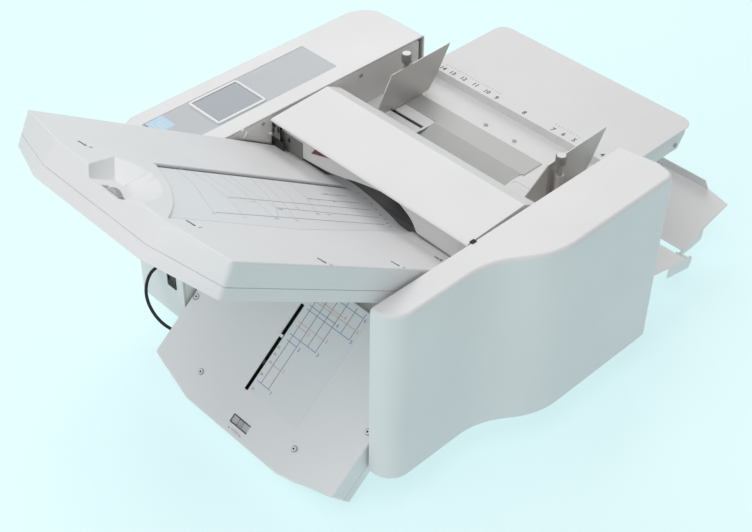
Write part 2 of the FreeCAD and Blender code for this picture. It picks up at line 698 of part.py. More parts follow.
def upper_plate():
    """The large plate: recessed scale deck with its tongue, slit, thumbwheel bowl."""
    top = new_body("UpperTopShell")
    rim = plate_outline("upper_outer", "upper_inner", "19", "0")
    split = plate_outline("upper_outer", "upper_inner", "21.6", "9")
    floor = plate_outline("upper_outer", "upper_inner", "23", "14")
    loft_between(top, "-plate_split", split, "0", rim)
    carve(top, "z", "-plate_split - 1", "-plate_skin",
          inset("upper_outer", "upper_inner", "85", "plate_wall", False))
    grow(top, "z", "-plate_skin", "-deck_inset",
         [("upper_inner - 1", "-51"), ("214", "2", "tongue_round"), ("233", "70"), ("232", "92"),
          ("205", "97"), ("upper_inner - 1", "97")])
    sink_deck(top)
    slit = ("slit_side - slit_width/2", "slit_side + slit_width/2")
    carve(top, "z", "-plate_skin - 1", "1",
          [("bowl_u + 98", slit[0]), ("200", slit[0]), ("200", slit[1]), ("bowl_u + 98", slit[1])])
    scoop_bowl(top)
    carve(top, "z", "-plate_split - 1", "-bowl_depth + 1", wheel_well("bowl_u", "bowl_v", "wheel_radius"))
    seat_upper(node(top, "upper_top_shell"))
    bottom = new_body("UpperBottomShell")
    loft_between(bottom, "-upper_depth", floor, "-plate_split", split)
    carve(bottom, "z", "-upper_depth + plate_wall", "-plate_split + 1",
          inset("upper_outer", "upper_inner", "24", "plate_wall", True))
    carve(bottom, "z", "wheel_w - wheel_radius - wheel_play", "-plate_split + 1",
          wheel_well("bowl_u", "bowl_v", "wheel_radius"))
    seat_upper(node(bottom, "upper_bottom_shell"))
    plate_inside("upper", "upper_throat", "-upper_outer + 26", "upper_inner + 24",
                 "upper_inner + 4", ("-150", "120"), seat_upper)
    scale = new_body("UpperScale")
    far_edge = "slit_side - slit_width/2 - 2"
    grow(scale, "z", "-deck_inset", "-deck_inset + 0.3",
         [("upper_inner - 2", far_edge), ("upper_inner - 2", "-58"), ("157", "-66"), ("-39", "-81"),
          ("bowl_u + 12", "-75"), ("bowl_u + 64", "-15", "deck_round"), ("bowl_u + 104", far_edge)])
    seat_upper(node(scale, "upper_scale_sheet"))
    stop_bar("upper", "upper_throat", "-100", "slit_side", "1.6", "-1", seat_upper)
    return thumbwheel("upper", "bowl_u", "bowl_v", "wheel_w", "wheel_radius", seat_upper)


def sink_deck(body):
    """The sunk scale deck, curved at its outer end; it runs out at the machine end and at the slit."""
    near = [("upper_inner + 50", "-51"), ("157", "-72"), ("-39", "-87"), ("bowl_u + 3", "-80")]
    slope = [(u, "%s - deck_slope" % v) for u, v in near[:-1]] + [("bowl_u - 1", "-80 - deck_slope")]
    far_edge = "slit_side - slit_width/2"
    rest = [("bowl_u + 60", "-16", "deck_round"), ("bowl_u + 100", far_edge), ("upper_inner + 50", far_edge)]
    floor = sketch_on(body, "z", "-deck_inset", [near + rest])
    brim = sketch_on(body, "z", "0", [slope + rest])
    dip = body.newObject("PartDesign::SubtractiveLoft", "Deck")
    dip.Profile = floor
    dip.Sections = [brim]
    dip.Ruled = True
    doc.recompute()


def scoop_bowl(body):
    """The thumb bowl: a long slope from the deck's end down to the wheel, and a short one behind it."""
    def round_wheel(*steps):
        return [("bowl_u + (%s)" % step[0], "bowl_v + (%s)" % step[1]) + step[2:] for step in steps]

    low = round_wheel((-25, -16), (10, -11, "bowl_floor_round"), (24, 16), (25, 31), (-25, 26))
    high = round_wheel((-25, -48), (40, -24, "bowl_round"), (77, 40), (47, 67), (-25, 31))
    floor = sketch_on(body, "z", "-bowl_depth", [low])
    rim = sketch_on(body, "z", "0", [high])
    bowl = body.newObject("PartDesign::SubtractiveLoft", "Bowl")
    bowl.Profile = floor
    bowl.Sections = [rim]
    bowl.Ruled = True
    doc.recompute()


def wheel_well(u, v, radius):
    """The plan of the well round a thumbwheel whose axle lies along the plate."""
    end = "(wheel_width/2 + wheel_play)"
    side = "(%s + wheel_play)" % radius
    return [("%s - %s" % (u, end), "%s - %s" % (v, side)), ("%s + %s" % (u, end), "%s - %s" % (v, side)),
            ("%s + %s" % (u, end), "%s + %s" % (v, side)), ("%s - %s" % (u, end), "%s + %s" % (v, side))]


def lower_plate():
    """The short plate below: flat top face, slot with its black edge, dial window."""
    top = new_body("LowerTopShell")
    rim = plate_outline("lower_outer", "lower_inner", "21", "0")
    split = plate_outline("lower_outer", "lower_inner", "22", "2")
    floor = plate_outline("lower_outer", "lower_inner", "23", "4")
    loft_between(top, "-plate_split", split, "0", rim)
    carve(top, "z", "-plate_split - 1", "-plate_skin",
          inset("lower_outer", "lower_inner", "42", "plate_wall", False))
    carve(top, "z", "-plate_skin - 1", "1",
          [("-157.6", "slot_side - slot_width/2"), ("-28", "slot_side - slot_width/2"),
           ("-28", "slot_side + slot_width/2"), ("-157.6", "slot_side + slot_width/2")])
    carve(top, "z", "-3", "1", dial_opening())
    carve(top, "z", "-plate_split - 1", "-2", wheel_well("dial_u", "dial_v", "dial_radius"))
    seat_lower(node(top, "lower_top_shell"))
    bottom = new_body("LowerBottomShell")
    loft_between(bottom, "-lower_depth", floor, "-plate_split", split)
    carve(bottom, "z", "-lower_depth + plate_wall", "-plate_split + 1",
          inset("lower_outer", "lower_inner", "24", "plate_wall", True))
    carve(bottom, "z", "dial_w - dial_radius - wheel_play", "-plate_split + 1",
          wheel_well("dial_u", "dial_v", "dial_radius"))
    seat_lower(node(bottom, "lower_bottom_shell"))
    plate_inside("lower", "lower_throat", "-lower_outer + 27", "lower_inner + 49",
                 "lower_inner + 33", ("-170", "-20"), seat_lower)
    scale = box("-157", "lower_inner - 2", "-77", "slot_side - slot_width/2 - 1.5", "0", "0.3")
    node(tilted(scale, "lower"), "lower_scale_sheet")
    stop_bar("lower", "lower_throat", "-120", "slot_side", "3.6", "-0.5", seat_lower)
    axle = thumbwheel("lower", "dial_u", "dial_v", "dial_w", "dial_radius", seat_lower)
    window = new_body("DialWindow")
    grow(window, "z", "0", "0.8", dial_opening(2.4, 4), dial_opening())
    seat_lower(node(window, "dial_window"))
    return axle


def dial_opening(along=0, across=0):
    """The dial window's plan, or the outside of its black rim."""
    half_u, half_v = "dial_wide/2 + %s" % along, "dial_long/2 + %s" % across
    return [("dial_u - (%s)" % half_u, "dial_v - (%s)" % half_v),
            ("dial_u + (%s)" % half_u, "dial_v - (%s)" % half_v),
            ("dial_u + (%s)" % half_u, "dial_v + (%s)" % half_v),
            ("dial_u - (%s)" % half_u, "dial_v + (%s)" % half_v)]


def tilted(block, which):
    """Move a block that was drawn in a plate's own frame to its place on the machine."""
    holder = doc.addObject("Part::Compound", "OnPlate")
    holder.Links = [block]
    turn = 1 if which == "upper" else -1
    return place(holder, which + "_x", "0", which + "_z", (0, turn, 0), which + "_tilt")


def plate_inside(name, throat, outer, upper_end, lower_end, slots, seat):
    """Two parallel fold sheets with slots for the stop's fingers."""
    pair = []
    for low, high, end in (("-%s + throat_gap/2" % throat,
                            "-%s + throat_gap/2 + sheet_fold" % throat, upper_end),
                           ("-%s - throat_gap/2 - sheet_fold" % throat,
                            "-%s - throat_gap/2" % throat, lower_end)):
        blank = box(outer, end, "-plate_half + plate_wall + fit_gap",
                    "plate_half - plate_wall - fit_gap", low, high)
        cuts = [box(slots[0], slots[1], "%d - 4" % v, "%d + 4" % v, low + " - 1", high + " + 1")
                for v in (-100, 0, 100)]
        pair.append(less(blank, cuts))
    sheets = together(pair)
    node(seat(sheets), name + "_fold_sheets")


def stop_bar(name, throat, rest, pointer_side, pointer_width, pointer_top, seat):
    """The paper stop: a cross bar, fingers through the fold sheets and a pointer in the slit."""
    bar_low = "-%s + throat_gap/2 + sheet_fold + fit_gap" % throat
    parts = [box(rest, rest + " + 8", "-120", "120", bar_low, bar_low + " + 3")]
    for v in (-100, 0, 100):
        parts.append(box(rest, rest + " + 8", "%d - 3" % v, "%d + 3" % v,
                         "-%s - throat_gap/2 - sheet_fold - 1" % throat, bar_low))
    parts.append(box(rest + " + 1", rest + " + 7", "%s - %s/2" % (pointer_side, pointer_width),
                     "%s + %s/2" % (pointer_side, pointer_width), bar_low + " + 3", pointer_top))
    node(seat(fused(parts)), name + "_stop")


def thumbwheel(name, u, v, w, radius, seat):
    """The ribbed skew wheel, which turns on a short axle along the plate."""
    body = new_body("Thumbwheel")
    low, high = "%s - wheel_width/2" % u, "%s + wheel_width/2" % u
    grow(body, "x", low, high, (v, w, radius))
    carve(body, "x", low + " - 1", high + " + 1", (v, w, "2 + running_fit"))
    seat(node(body, name + "_thumbwheel"))
    axle = doc.addObject("Part::Cylinder", "Axle")
    axle.Radius = 2
    link(axle, "Height", "wheel_width + 2*wheel_play")
    place(axle, low + " - wheel_play", v, w, (0, 1, 0), 90)
    return tilted(axle, name)


def plate_hardware():
    """Docking pins between plates and frames, and the visible screws."""
    pins = []
    for which, spots in (("upper", ((150, -20), (90, -25))), ("lower", ((-5, -20), (-70, -20)))):
        group = []
        for u, w in spots:
            for low, high in (("-half_inner", "-plate_half"), ("plate_half", "half_inner")):
                group.append(rod(str(u), str(w), low, high, "4"))
        for pin in group:
            pins.append(tilted(pin, which))
    node(together(pins), "plate_pins")
    screws = frame_screws()
    for a, y in ((104.7, 165.5), (104.7, -164.5), (176.3, 90.5), (176.3, -91.5)):
        screws.append(tilted(post("-%s" % a, str(y), "0", "1.2", "4"), "lower"))
    node(together(screws), "panel_screws")


# ---------------------------------------------------------------- roller block
GEAR_PHASE = {1: "13.75", 2: "0", 3: "18.75", 4: "18.75"}


def rollers():
    rings = []
    for x, z in shaft_centres():
        for low, high in (("-frame_outer - sheet_frame", "-half_inner + 2"),
                          ("half_inner - 2", "frame_outer + sheet_frame")):
            rings.append(less(rod(x, z, low, high, "bearing_radius"),
                              [rod(x, z, low + " - 1", high + " + 1", "shaft_radius + running_fit")]))
    node(together(rings), "roller_bearings")
    for n in (1, 2, 3, 4):
        x, z = "fold_roller_%d_x" % n, "fold_roller_%d_z" % n
        end = "second_plane + pulley_width + 1" if n == 2 else "gear_near + gear_width"
        parts = [rod(x, z, "-roller_half", "roller_half", "roller_radius"),
                 rod(x, z, "-(%s)" % end, "frame_outer + sheet_frame", "shaft_radius")]
        if n == 2:
            for plane in ("first_plane", "second_plane"):
                parts.append(rod(x, z, "-%s - pulley_width" % plane, "-" + plane, "pulley_radius"))
        node(fused(parts), "fold_roller_%d" % n)
        gear(n, x, z)
    feed = [rod("feed_x", "feed_z", "-feed_half", "feed_half", "feed_radius"),
            rod("feed_x", "feed_z", "-second_plane - pulley_width", "frame_outer + sheet_frame",
                "shaft_radius"),
            rod("feed_x", "feed_z", "-second_plane - pulley_width", "-second_plane", "pulley_radius")]
    node(fused(feed), "feed_roller")
    exits = [rod("exit_x", "exit_z", "-second_plane - pulley_width", "frame_outer + sheet_frame",
                 "shaft_radius"),
             rod("exit_x", "exit_z", "-second_plane - pulley_width", "-second_plane",
                 "pulley_radius - 3")]
    for y in (-120, -40, 40, 120):
        exits.append(rod("exit_x", "exit_z", "%d - 8" % y, "%d + 8" % y, "exit_radius"))
    node(fused(exits), "exit_roller")


def gear(n, x, z):
    """A spur gear with relieved teeth on the near end of a fold roller."""
    teeth = int(round(2 * value("roller_pitch") / value("gear_module")))
    body = new_body("Gear")
    root = value("roller_pitch") - 1.3 * value("gear_module")
    tip = value("roller_pitch") + 0.85 * value("gear_module")
    pitch = 2 * math.pi / teeth
    spots = []
    for tooth in range(teeth):
        middle = tooth * pitch
        for radius, share in ((root, -0.27), (tip, -0.11), (tip, 0.11), (root, 0.27)):
            angle = middle + share * pitch
            spots.append(Vector(radius * math.cos(angle), radius * math.sin(angle), 0))
    role = PLANES["y"][0]
    sketch = body.newObject("Sketcher::SketchObject", "Teeth")
    plane = [item for item in body.Origin.OriginFeatures if item.Role == role][0]
    sketch.AttachmentSupport = (plane, "")
    sketch.MapMode = "FlatFace"
    for first, second in zip(spots, spots[1:] + spots[:1]):
        sketch.addGeometry(Part.LineSegment(first, second), False)
    pad = body.newObject("PartDesign::Pad", "Rim")
    pad.Profile = sketch
    link(pad, "Length", "gear_width")
    doc.recompute()
    carve(body, "y", "-gear_width - 1", "1", ("0", "0", "shaft_radius"))
    body.Placement = Placement(Vector(value(x), -value("gear_near"), value(z)),
                               Rotation(Vector(0, -1, 0), value(GEAR_PHASE[n])))
    link(body, "Placement.Base.x", x)
    link(body, "Placement.Base.y", "-gear_near")
    link(body, "Placement.Base.z", z)
    return node(body, "fold_gear_%d" % n)


def drive():
    """Motor, its pulley and the three belts in the near housing."""
    motor = [rod("motor_x", "motor_z", "-half_inner", "-half_inner + 4", "motor_radius + 5"),
             rod("motor_x", "motor_z", "-half_inner + 4", "-half_inner + 4 + motor_length",
                 "motor_radius"),
             rod("motor_x", "motor_z", "-first_plane + 1", "-half_inner", "shaft_radius - 1")]
    node(fused(motor), "drive_motor")
    pulley = less(fused([rod("motor_x", "motor_z", "-first_plane - pulley_width", "-first_plane",
                             "motor_pulley_radius"),
                         rod("motor_x", "motor_z", "-second_plane - pulley_width",
                             "-first_plane - pulley_width", "motor_pulley_radius")]),
                  [rod("motor_x", "motor_z", "-first_plane - 1", "-first_plane + 2", "shaft_radius")])
    node(pulley, "motor_pulley")
    loops = [belt("motor_x", "motor_z", "motor_pulley_radius", "fold_roller_2_x",
                  "fold_roller_2_z", "pulley_radius", "first_plane"),
             belt("fold_roller_2_x", "fold_roller_2_z", "pulley_radius", "feed_x", "feed_z",
                  "pulley_radius", "second_plane"),
             belt("motor_x", "motor_z", "motor_pulley_radius", "exit_x", "exit_z",
                  "pulley_radius - 3", "second_plane")]
    node(together(loops), "drive_belts")


def belt(x1, z1, r1, x2, z2, r2, plane):
    """A flat belt round two pulleys, from two tangent runs and two arcs."""
    a = Vector(value(x1), 0, value(z1))
    b = Vector(value(x2), 0, value(z2))
    y = -value(plane) - 1
    width = value("pulley_width") - 2

    def loop(extra):
        ra, rb = value(r1) + extra, value(r2) + extra
        along = (b - a)
        span = along.Length
        along.normalize()
        side = Vector(-along.z, 0, along.x)
        lean = (ra - rb) / span
        rise = math.sqrt(1 - lean * lean)
        normals = [along * lean + side * rise, along * lean - side * rise]
        p = [a + normals[0] * ra, b + normals[0] * rb, b + normals[1] * rb, a + normals[1] * ra]
        edges = [Part.LineSegment(p[0], p[1]).toShape(),
                 Part.Arc(p[1], b + along * rb, p[2]).toShape(),
                 Part.LineSegment(p[2], p[3]).toShape(),
                 Part.Arc(p[3], a - along * ra, p[0]).toShape()]
        return Part.Face(Part.Wire(edges))

    ring = loop(0.1 + value("belt_thickness")).cut(loop(0.1))
    solid = ring.extrude(Vector(0, -width, 0))
    solid.translate(Vector(0, y, 0))
    feature = doc.addObject("Part::Feature", "Belt")
    feature.Shape = solid.Solids[0]
    return feature


# ---------------------------------------------------------------- feed side
def feed_side():
    deck = new_body("FeedDeck")
    half = "half_inner - fit_gap"
    grow(deck, "z", "deck_level - sheet_deck", "deck_level",
         [("deck_start", "-(%s)" % half), ("deck_end", "-(%s)" % half), ("deck_end", half),
          ("deck_start", half)])
    for low, high in (("-(%s)" % half, "-(%s) + sheet_deck" % half),
                      ("%s - sheet_deck" % half, half)):
        grow(deck, "z", "deck_level - 22", "deck_level - sheet_deck/2",
             [("deck_start + 2", low), ("deck_end - 2", low), ("deck_end - 2", high),
              ("deck_start + 2", high)])
    grow(deck, "z", "deck_level - 14", "deck_level - sheet_deck/2",
         [("deck_end - sheet_deck", "-table_half"), ("deck_end", "-table_half"),
          ("deck_end", "table_half"), ("deck_end - sheet_deck", "table_half")])
    slots = []
    for low, high in (("-160", "-82"), ("82", "160")):
        slots.append([("deck_start + 3", low), ("deck_start + 9", low), ("deck_start + 9", high),
                      ("deck_start + 3", high)])
    slots.append([("deck_start - 1", "-guide_half - fit_gap"),
                  ("guide_fold + fit_gap", "-guide_half - fit_gap"),
                  ("guide_fold + fit_gap", "guide_half + fit_gap"),
                  ("deck_start - 1", "guide_half + fit_gap")])
    carve(deck, "z", "deck_level - sheet_deck - 1", "deck_level + 1", *slots)
    node(deck, "feed_deck")
    guide = new_body("GuideSheet")
    grow(guide, "z", "deck_level", "guide_top",
         [("guide_fold", "-82"), ("guide_end", "-82"), ("guide_end", "139.5"), ("guide_fold + 4", "139.5"),
          ("guide_fold + 4", "guide_half"), ("guide_fold", "guide_half")])
    grow(guide, "y", "-guide_half", "guide_half",
         [("guide_fold + 3", "deck_level"), ("guide_fold + 3", "guide_top"), ("guide_fold", "guide_top"),
          ("guide_fold - guide_drop_run*guide_cos", "guide_top - guide_drop_run*guide_sin"),
          ("guide_fold - guide_drop_run*guide_cos", "guide_top - guide_drop_run*guide_sin - sheet_deck"),
          ("guide_fold", "deck_level")])
    deflector = box("nip_x + 21.7", "nip_x + 44.2", "-half_inner + fit_gap", "half_inner - fit_gap",
                    "nip_z + 22.6", "nip_z + 23.8")
    node(together([guide, deflector]), "guide_sheet")
    pad = strip("guide_fold - (guide_run_to_feed + 14)*guide_cos - pad_thickness*guide_sin",
                "guide_top - (guide_run_to_feed + 14)*guide_sin + pad_thickness*guide_cos",
                "28", "guide_slope", "pad_thickness", "-feed_half + 4", "feed_half - 4")
    node(pad, "separator_pad")
    table()
    side_guides()


def table():
    """The folded sheet table with its front lip and two stiffening flanges."""
    body = new_body("FeedTable")
    corners = [("deck_end + 0.1", "-table_half"), ("table_end", "-table_half"),
               ("table_end", "table_half"), ("deck_end + 0.1", "table_half")]
    grow(body, "z", "table_level - table_sheet", "table_level", corners)
    soften(body, "table_corner", upright_at(corners[1], corners[2]))
    grow(body, "z", "table_level - 17", "table_level - table_sheet/2",
         [("deck_end + 0.1", "-table_half"), ("deck_end + 0.1 + table_sheet", "-table_half"),
          ("deck_end + 0.1 + table_sheet", "table_half"), ("deck_end + 0.1", "table_half")])
    for low, high in (("-table_half + 4", "-table_half + 4 + table_sheet"),
                      ("table_half - 4 - table_sheet", "table_half - 4")):
        grow(body, "y", low, high,
             [("deck_end + 0.1", "table_level - 31"), ("table_end - 42", "table_level - 31"),
              ("table_end - 26", "table_level - 32"), ("table_end - 14", "table_level - 13"),
              ("table_end - 12", "table_level - table_sheet/2"),
              ("deck_end + 0.1", "table_level - table_sheet/2")])
    node(body, "feed_table")


def frame_screws():
    """Pan heads on the table flanges, the feed deck and the far side frame."""
    flange = ("table_end - 33", "table_level - 23")
    return [rod(*flange, "-table_half + 2.6", "-table_half + 4", "3"),
            rod(*flange, "table_half - 4", "table_half - 2.6", "3"),
            post("guide_end + 12", "27.5", "deck_level", "deck_level + 1", "3"),
            post("guide_end + 12", "-23.5", "deck_level", "deck_level + 1", "3"),
            rod("deck_start - 19", "cover_top - 12", "half_inner - 1.2", "half_inner", "3"),
            rod("lid_hinge_x - 20", "cover_top - 8", "half_inner - 1.2", "half_inner", "2.5")]


def side_guides():
    """Sheet-metal side guides: upright blade, flared front flange, foot, screw boss."""
    for label, sign in (("near", -1), ("far", 1)):
        face = "paper_half" if sign > 0 else "-paper_half - blade_sheet"
        back = "paper_half + blade_sheet" if sign > 0 else "-paper_half"
        floor = "guide_top" if sign > 0 else "deck_level"
        body = new_body("Guide")
        grow(body, "y", face, back,
             [("deck_start + 113", "deck_level + 62"), ("deck_start + 88", "deck_level + 21"),
              ("deck_start + 73", floor + " + 2"), ("deck_start + 3", floor + " + 2"),
              ("deck_start", "deck_level + 5"), ("deck_start", "deck_level + 58.6"),
              ("deck_start + 56", "deck_level + 60.5")])
        flange = body.newObject("Sketcher::SketchObject", "Flange")
        plane = [item for item in body.Origin.OriginFeatures if item.Role == "XZ_Plane"][0]
        flange.AttachmentSupport = (plane, "")
        flange.MapMode = "FlatFace"
        edge = "-(%s)" % back
        flange.AttachmentOffset = Placement(Vector(value("deck_start"), 0, value(edge)),
                                            Rotation(Vector(0, 1, 0), 12 * sign))
        link(flange, "AttachmentOffset.Base.x", "deck_start")
        link(flange, "AttachmentOffset.Base.z", edge)
        polygon_in(flange, [("1", "deck_level + 58.6"), ("-31", "deck_level + 22.5"),
                            ("-13", "deck_level + 6"), ("1", "deck_level + 5")])
        pad = body.newObject("PartDesign::Pad", "FlangePad")
        pad.Profile = flange
        link(pad, "Length", "blade_sheet")
        doc.recompute()
        foot_edges = ("-paper_half - 20", "-paper_half") if sign < 0 else ("paper_half", "paper_half + 20")
        foot_start, foot_end = "deck_start + 4", "deck_start + 61"
        grow(body, "z", floor + " + fit_gap", floor + " + 2.6",
             [(foot_start, foot_edges[0]), (foot_end, foot_edges[0]), (foot_end, foot_edges[1]),
              (foot_start, foot_edges[1])])
        knob_x, knob_y = KNOBS[label]
        grow(body, "z", "deck_level + 3", "deck_level + 44", (knob_x, knob_y, "6"))
        carve(body, "z", "deck_level + 10", "deck_level + 45", (knob_x, knob_y, "2.5 + running_fit"))
        node(body, label + "_guide")
        node(knob(knob_x, knob_y), label + "_guide_knob")


KNOBS = {"near": ("deck_start + 13", "-paper_half - 10"), "far": ("deck_start + 38", "paper_half + 10")}


def knob(x, y):
    """A knurled thumb screw that locks its side guide."""
    body = new_body("Knob")
    grow(body, "z", "deck_level + 58", "deck_level + 73", (x, y, "7"))
    grow(body, "z", "deck_level + 11", "deck_level + 60", (x, y, "2.5"))
    grow(body, "z", "deck_level + 44.3", "deck_level + 58", (x, y, "5"))
    return body


# ---------------------------------------------------------------- top cover
def lid_outline(*steps):
    """Corners in X and Z, measured from the top cover's hinge line."""
    return [("lid_hinge_x + (%s)" % x, "lid_hinge_z + (%s)" % z) for x, z in steps]


def top_cover_parts():
    lid = new_body("TopCover")
    shell = lid_outline((-10.5, 5.6), (-10.5, 7.5), (-8, 9), (88, 13.6), (110.5, 2), (109, -0.4),
                        (87.3, 10.6), (-7, 5.8))
    grow(lid, "y", "-lid_half", "lid_half", shell)
    cheek = lid_outline((-4, -1), (-9.5, 7), (88, 12), (109, 1), (94, -9), (0, -9))
    for low, high in (("-lid_half", "-lid_half + 3"), ("lid_half - 3", "lid_half")):
        grow(lid, "y", low, high, cheek)
        carve(lid, "y", low + " - 1", high + " + 1",
              ("lid_hinge_x", "lid_hinge_z", "lid_pin + running_fit"))
    node(lid, "top_cover")
    brackets = []
    for sign in (-1, 1):
        outer = "half_inner" if sign > 0 else "-half_inner"
        inner = "lid_half + 0.6" if sign > 0 else "-(lid_half + 0.6)"
        low, high = (inner, outer) if sign > 0 else (outer, inner)
        tip = "lid_half - 6" if sign > 0 else "-(lid_half - 6)"
        pin_low, pin_high = (tip, outer) if sign > 0 else (outer, tip)
        tab_tip = "guard_half - 6" if sign > 0 else "-guard_half + 6"
        tab = (tab_tip, outer) if sign > 0 else (outer, tab_tip)
        plate = box("lid_hinge_x - 5", "lid_hinge_x + 18", low, high, "lid_hinge_z - 40", "lid_hinge_z + 5.5")
        brackets.append(fused([plate,
                               rod("lid_hinge_x", "lid_hinge_z", pin_low, pin_high, "lid_pin"),
                               box("guard_back + fit_gap", "guard_back + fit_gap + 3.1", tab[0], tab[1],
                                   "lid_hinge_z - 40", "lid_hinge_z - 14")]))
    node(together(brackets), "cover_hinge_brackets")
    guard = new_body("InnerGuard")
    arch = ((-80, -37), (-77.5, -35), (-69.5, -23), (-58.5, -15), (-43.5, -8), (-25.5, -8), (1.5, -13),
            (28.5, -19), (48.5, -25), (80, -32))
    grow(guard, "x", "guard_back - sheet_deck", "guard_back",
         [("-guard_half", "lid_hinge_z - 2"), ("-guard_half", "lid_hinge_z - 39")]
         + [(str(y), "lid_hinge_z - %s" % -z) for y, z in arch]
         + [("guard_half", "lid_hinge_z - 39"), ("guard_half", "lid_hinge_z - 2")])
    node(guard, "inner_guard")


# ---------------------------------------------------------------- delivery
def delivery():
    side = ("-half_inner + fit_gap", "half_inner - fit_gap")
    lower = strip("chute_x", "chute_z", "chute_run", "-chute_slope", "1.2", *side)
    upper_run = "(exit_x - chute_short - chute_x - 5.6)/cos(chute_slope * 1 deg)"
    upper = strip("chute_x + 5.6", "chute_z + 6.6", upper_run, "-chute_slope", "1.2", *side)
    node(together([lower, upper]), "exit_chute")
    deck = new_body("DeliveryDeck")
    tongue = "half_inner - 3.5"
    grow(deck, "z", "-tray_sheet", "0",
         [("-14", "-(%s)" % tongue), ("1", "-(%s)" % tongue), ("1", "-delivery_half"),
          ("delivery_run - 5.5", "-delivery_half"), ("delivery_run - 5.5", "delivery_half"),
          ("1", "delivery_half"), ("1", tongue), ("-14", tongue)])
    for low, high in (("-delivery_half", "-delivery_half + tray_sheet"),
                      ("delivery_half - tray_sheet", "delivery_half")):
        grow(deck, "y", low, high,
             [("118", "-tray_sheet/2"), ("122", "-20"), ("delivery_run + 10", "-20"),
              ("delivery_run + 12", "-6"), ("delivery_run + 7", "1.5"),
              ("delivery_run - 6", "-tray_sheet/2")])
    place(deck, "delivery_x", "0", "delivery_z", (0, 1, 0), "delivery_slope")
    pins = [rod("tray_x", "tray_z", "-delivery_half + tray_sheet/2", "-tray_half - 2", "3"),
            rod("tray_x", "tray_z", "tray_half + 2", "delivery_half - tray_sheet/2", "3"),
            rod("tray_x", "tray_z", "-tray_half - 2", "-tray_half + 6", "2"),
            rod("tray_x", "tray_z", "tray_half - 6", "tray_half + 2", "2")]
    node(fused([deck] + pins), "delivery_deck")
    tray = new_body("DeliveryTray")
    grow(tray, "z", "0", "tray_sheet",
         [("5", "-tray_half"), ("tray_run - 8", "-tray_half"), ("tray_run", "-tray_half + 38"),
          ("tray_run", "tray_half - 38"), ("tray_run - 8", "tray_half"), ("5", "tray_half")])
    grow(tray, "x", "tray_run - tray_sheet", "tray_run",
         [("-145", "tray_sheet/2"), ("145", "tray_sheet/2"), ("140", "18"), ("-140", "18")])
    for low, high in (("-tray_half", "-tray_half + tray_sheet"), ("tray_half - tray_sheet", "tray_half")):
        grow(tray, "y", low, high,
             [("-3.5", "-6.5"), ("6", "-9"), ("24", "-14"), ("50", "-17"), ("56", "tray_sheet/2"),
              ("5", "tray_sheet/2"), ("-3.5", "0")])
        carve(tray, "y", low + " - 1", high + " + 1", ("0", "-3", "2 + running_fit"))
    place(tray, "tray_x - 3*sin(tray_slope * 1 deg)", "0", "tray_z + 3*cos(tray_slope * 1 deg)",
          (0, -1, 0), "tray_slope")
    node(tray, "delivery_tray")


# ---------------------------------------------------------------- lead
# Route of the signal lead, from the far housing's end face to the side wall of the lower plate.
LEAD_ROUTE = [(3, 224.5, 132), (-10, 224.5, 132), (-22, 222, 125), (-31, 217, 112), (-34.5, 209.5, 97),
              (-33, 200, 81), (-27, 191, 66), (-19, 183.5, 56), (-18, 172.6, 54)]


def tube_along(points, diameter):
    """A tube of straight runs joined by tangent arcs; prints each arc's radius."""
    spots = [Vector(*point) for point in points]
    edges = []
    start = spots[0]
    radii = []
    for before, corner, after in zip(spots, spots[1:], spots[2:]):
        back = (before - corner).normalize()
        ahead = (after - corner).normalize()
        turn = math.pi - back.getAngle(ahead)
        reach = 0.45 * min((before - corner).Length, (after - corner).Length)
        radii.append(reach / math.tan(turn / 2))
        first = corner + back * reach
        last = corner + ahead * reach
        middle_way = (back + ahead).normalize()
        sag = radii[-1] * (1 / math.cos(turn / 2) - 1)
        edges.append(Part.LineSegment(start, first).toShape())
        edges.append(Part.Arc(first, corner + middle_way * sag, last).toShape())
        start = last
    edges.append(Part.LineSegment(start, spots[-1]).toShape())
    path = Part.Wire(edges)
    ring = Part.Circle(spots[0], spots[1] - spots[0], diameter / 2).toShape()
    tube = path.makePipeShell([Part.Wire(ring)], True, True)
    ratio = tube.Volume / (math.pi * diameter ** 2 / 4 * path.Length)
    print("lead length %.1f, volume ratio %.4f, radii %s"
          % (path.Length, ratio, " ".join("%.0f" % radius for radius in radii)))
    return tube


def leads():
    tube = doc.addObject("Part::Feature", "PlateLead")
    tube.Shape = tube_along(LEAD_ROUTE, value("lead_diameter"))
    node(tube, "plate_lead")


near_cover()
far_cover()
controls()
power_switch()
frame_parts()
node(together([upper_plate(), lower_plate()]), "wheel_axles")
plate_hardware()
rollers()
drive()
feed_side()
top_cover_parts()
delivery()
leads()
doc.recompute()

# ---------------------------------------------------------------- check, centre and write
for item in doc.Objects:
    if "Invalid" in item.State or "Error" in item.State:
        raise RuntimeError("%s failed: %s" % (item.Label, item.State))
for item in NODES:
    if item.Shape.isNull() or not item.Shape.isValid() or not item.Shape.Solids:
        raise RuntimeError("%s has no valid solid" % item.Label)

whole = FreeCAD.BoundBox()
for item in NODES:
    if item.Label != "plate_lead":
        whole.add(item.Shape.optimalBoundingBox(False))
shift = Vector(-whole.Center.x, -whole.Center.y, 0)
os.makedirs("parts", exist_ok=True)
for item in NODES:
    shape = item.Shape.copy()
    shape.translate(shift)
    shape.exportStep("parts/%s.step" % item.Label)
print("nodes %d, size %.1f x %.1f x %.1f, low %.2f, shift %.2f %.2f"
      % (len(NODES), whole.XLength, whole.YLength, whole.ZLength, whole.ZMin, shift.x, shift.y))
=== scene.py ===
"""Finishes and detail of the desk-top paper folding machine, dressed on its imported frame."""
import json
import math

import bmesh
import bpy
from mathutils import Matrix, Vector

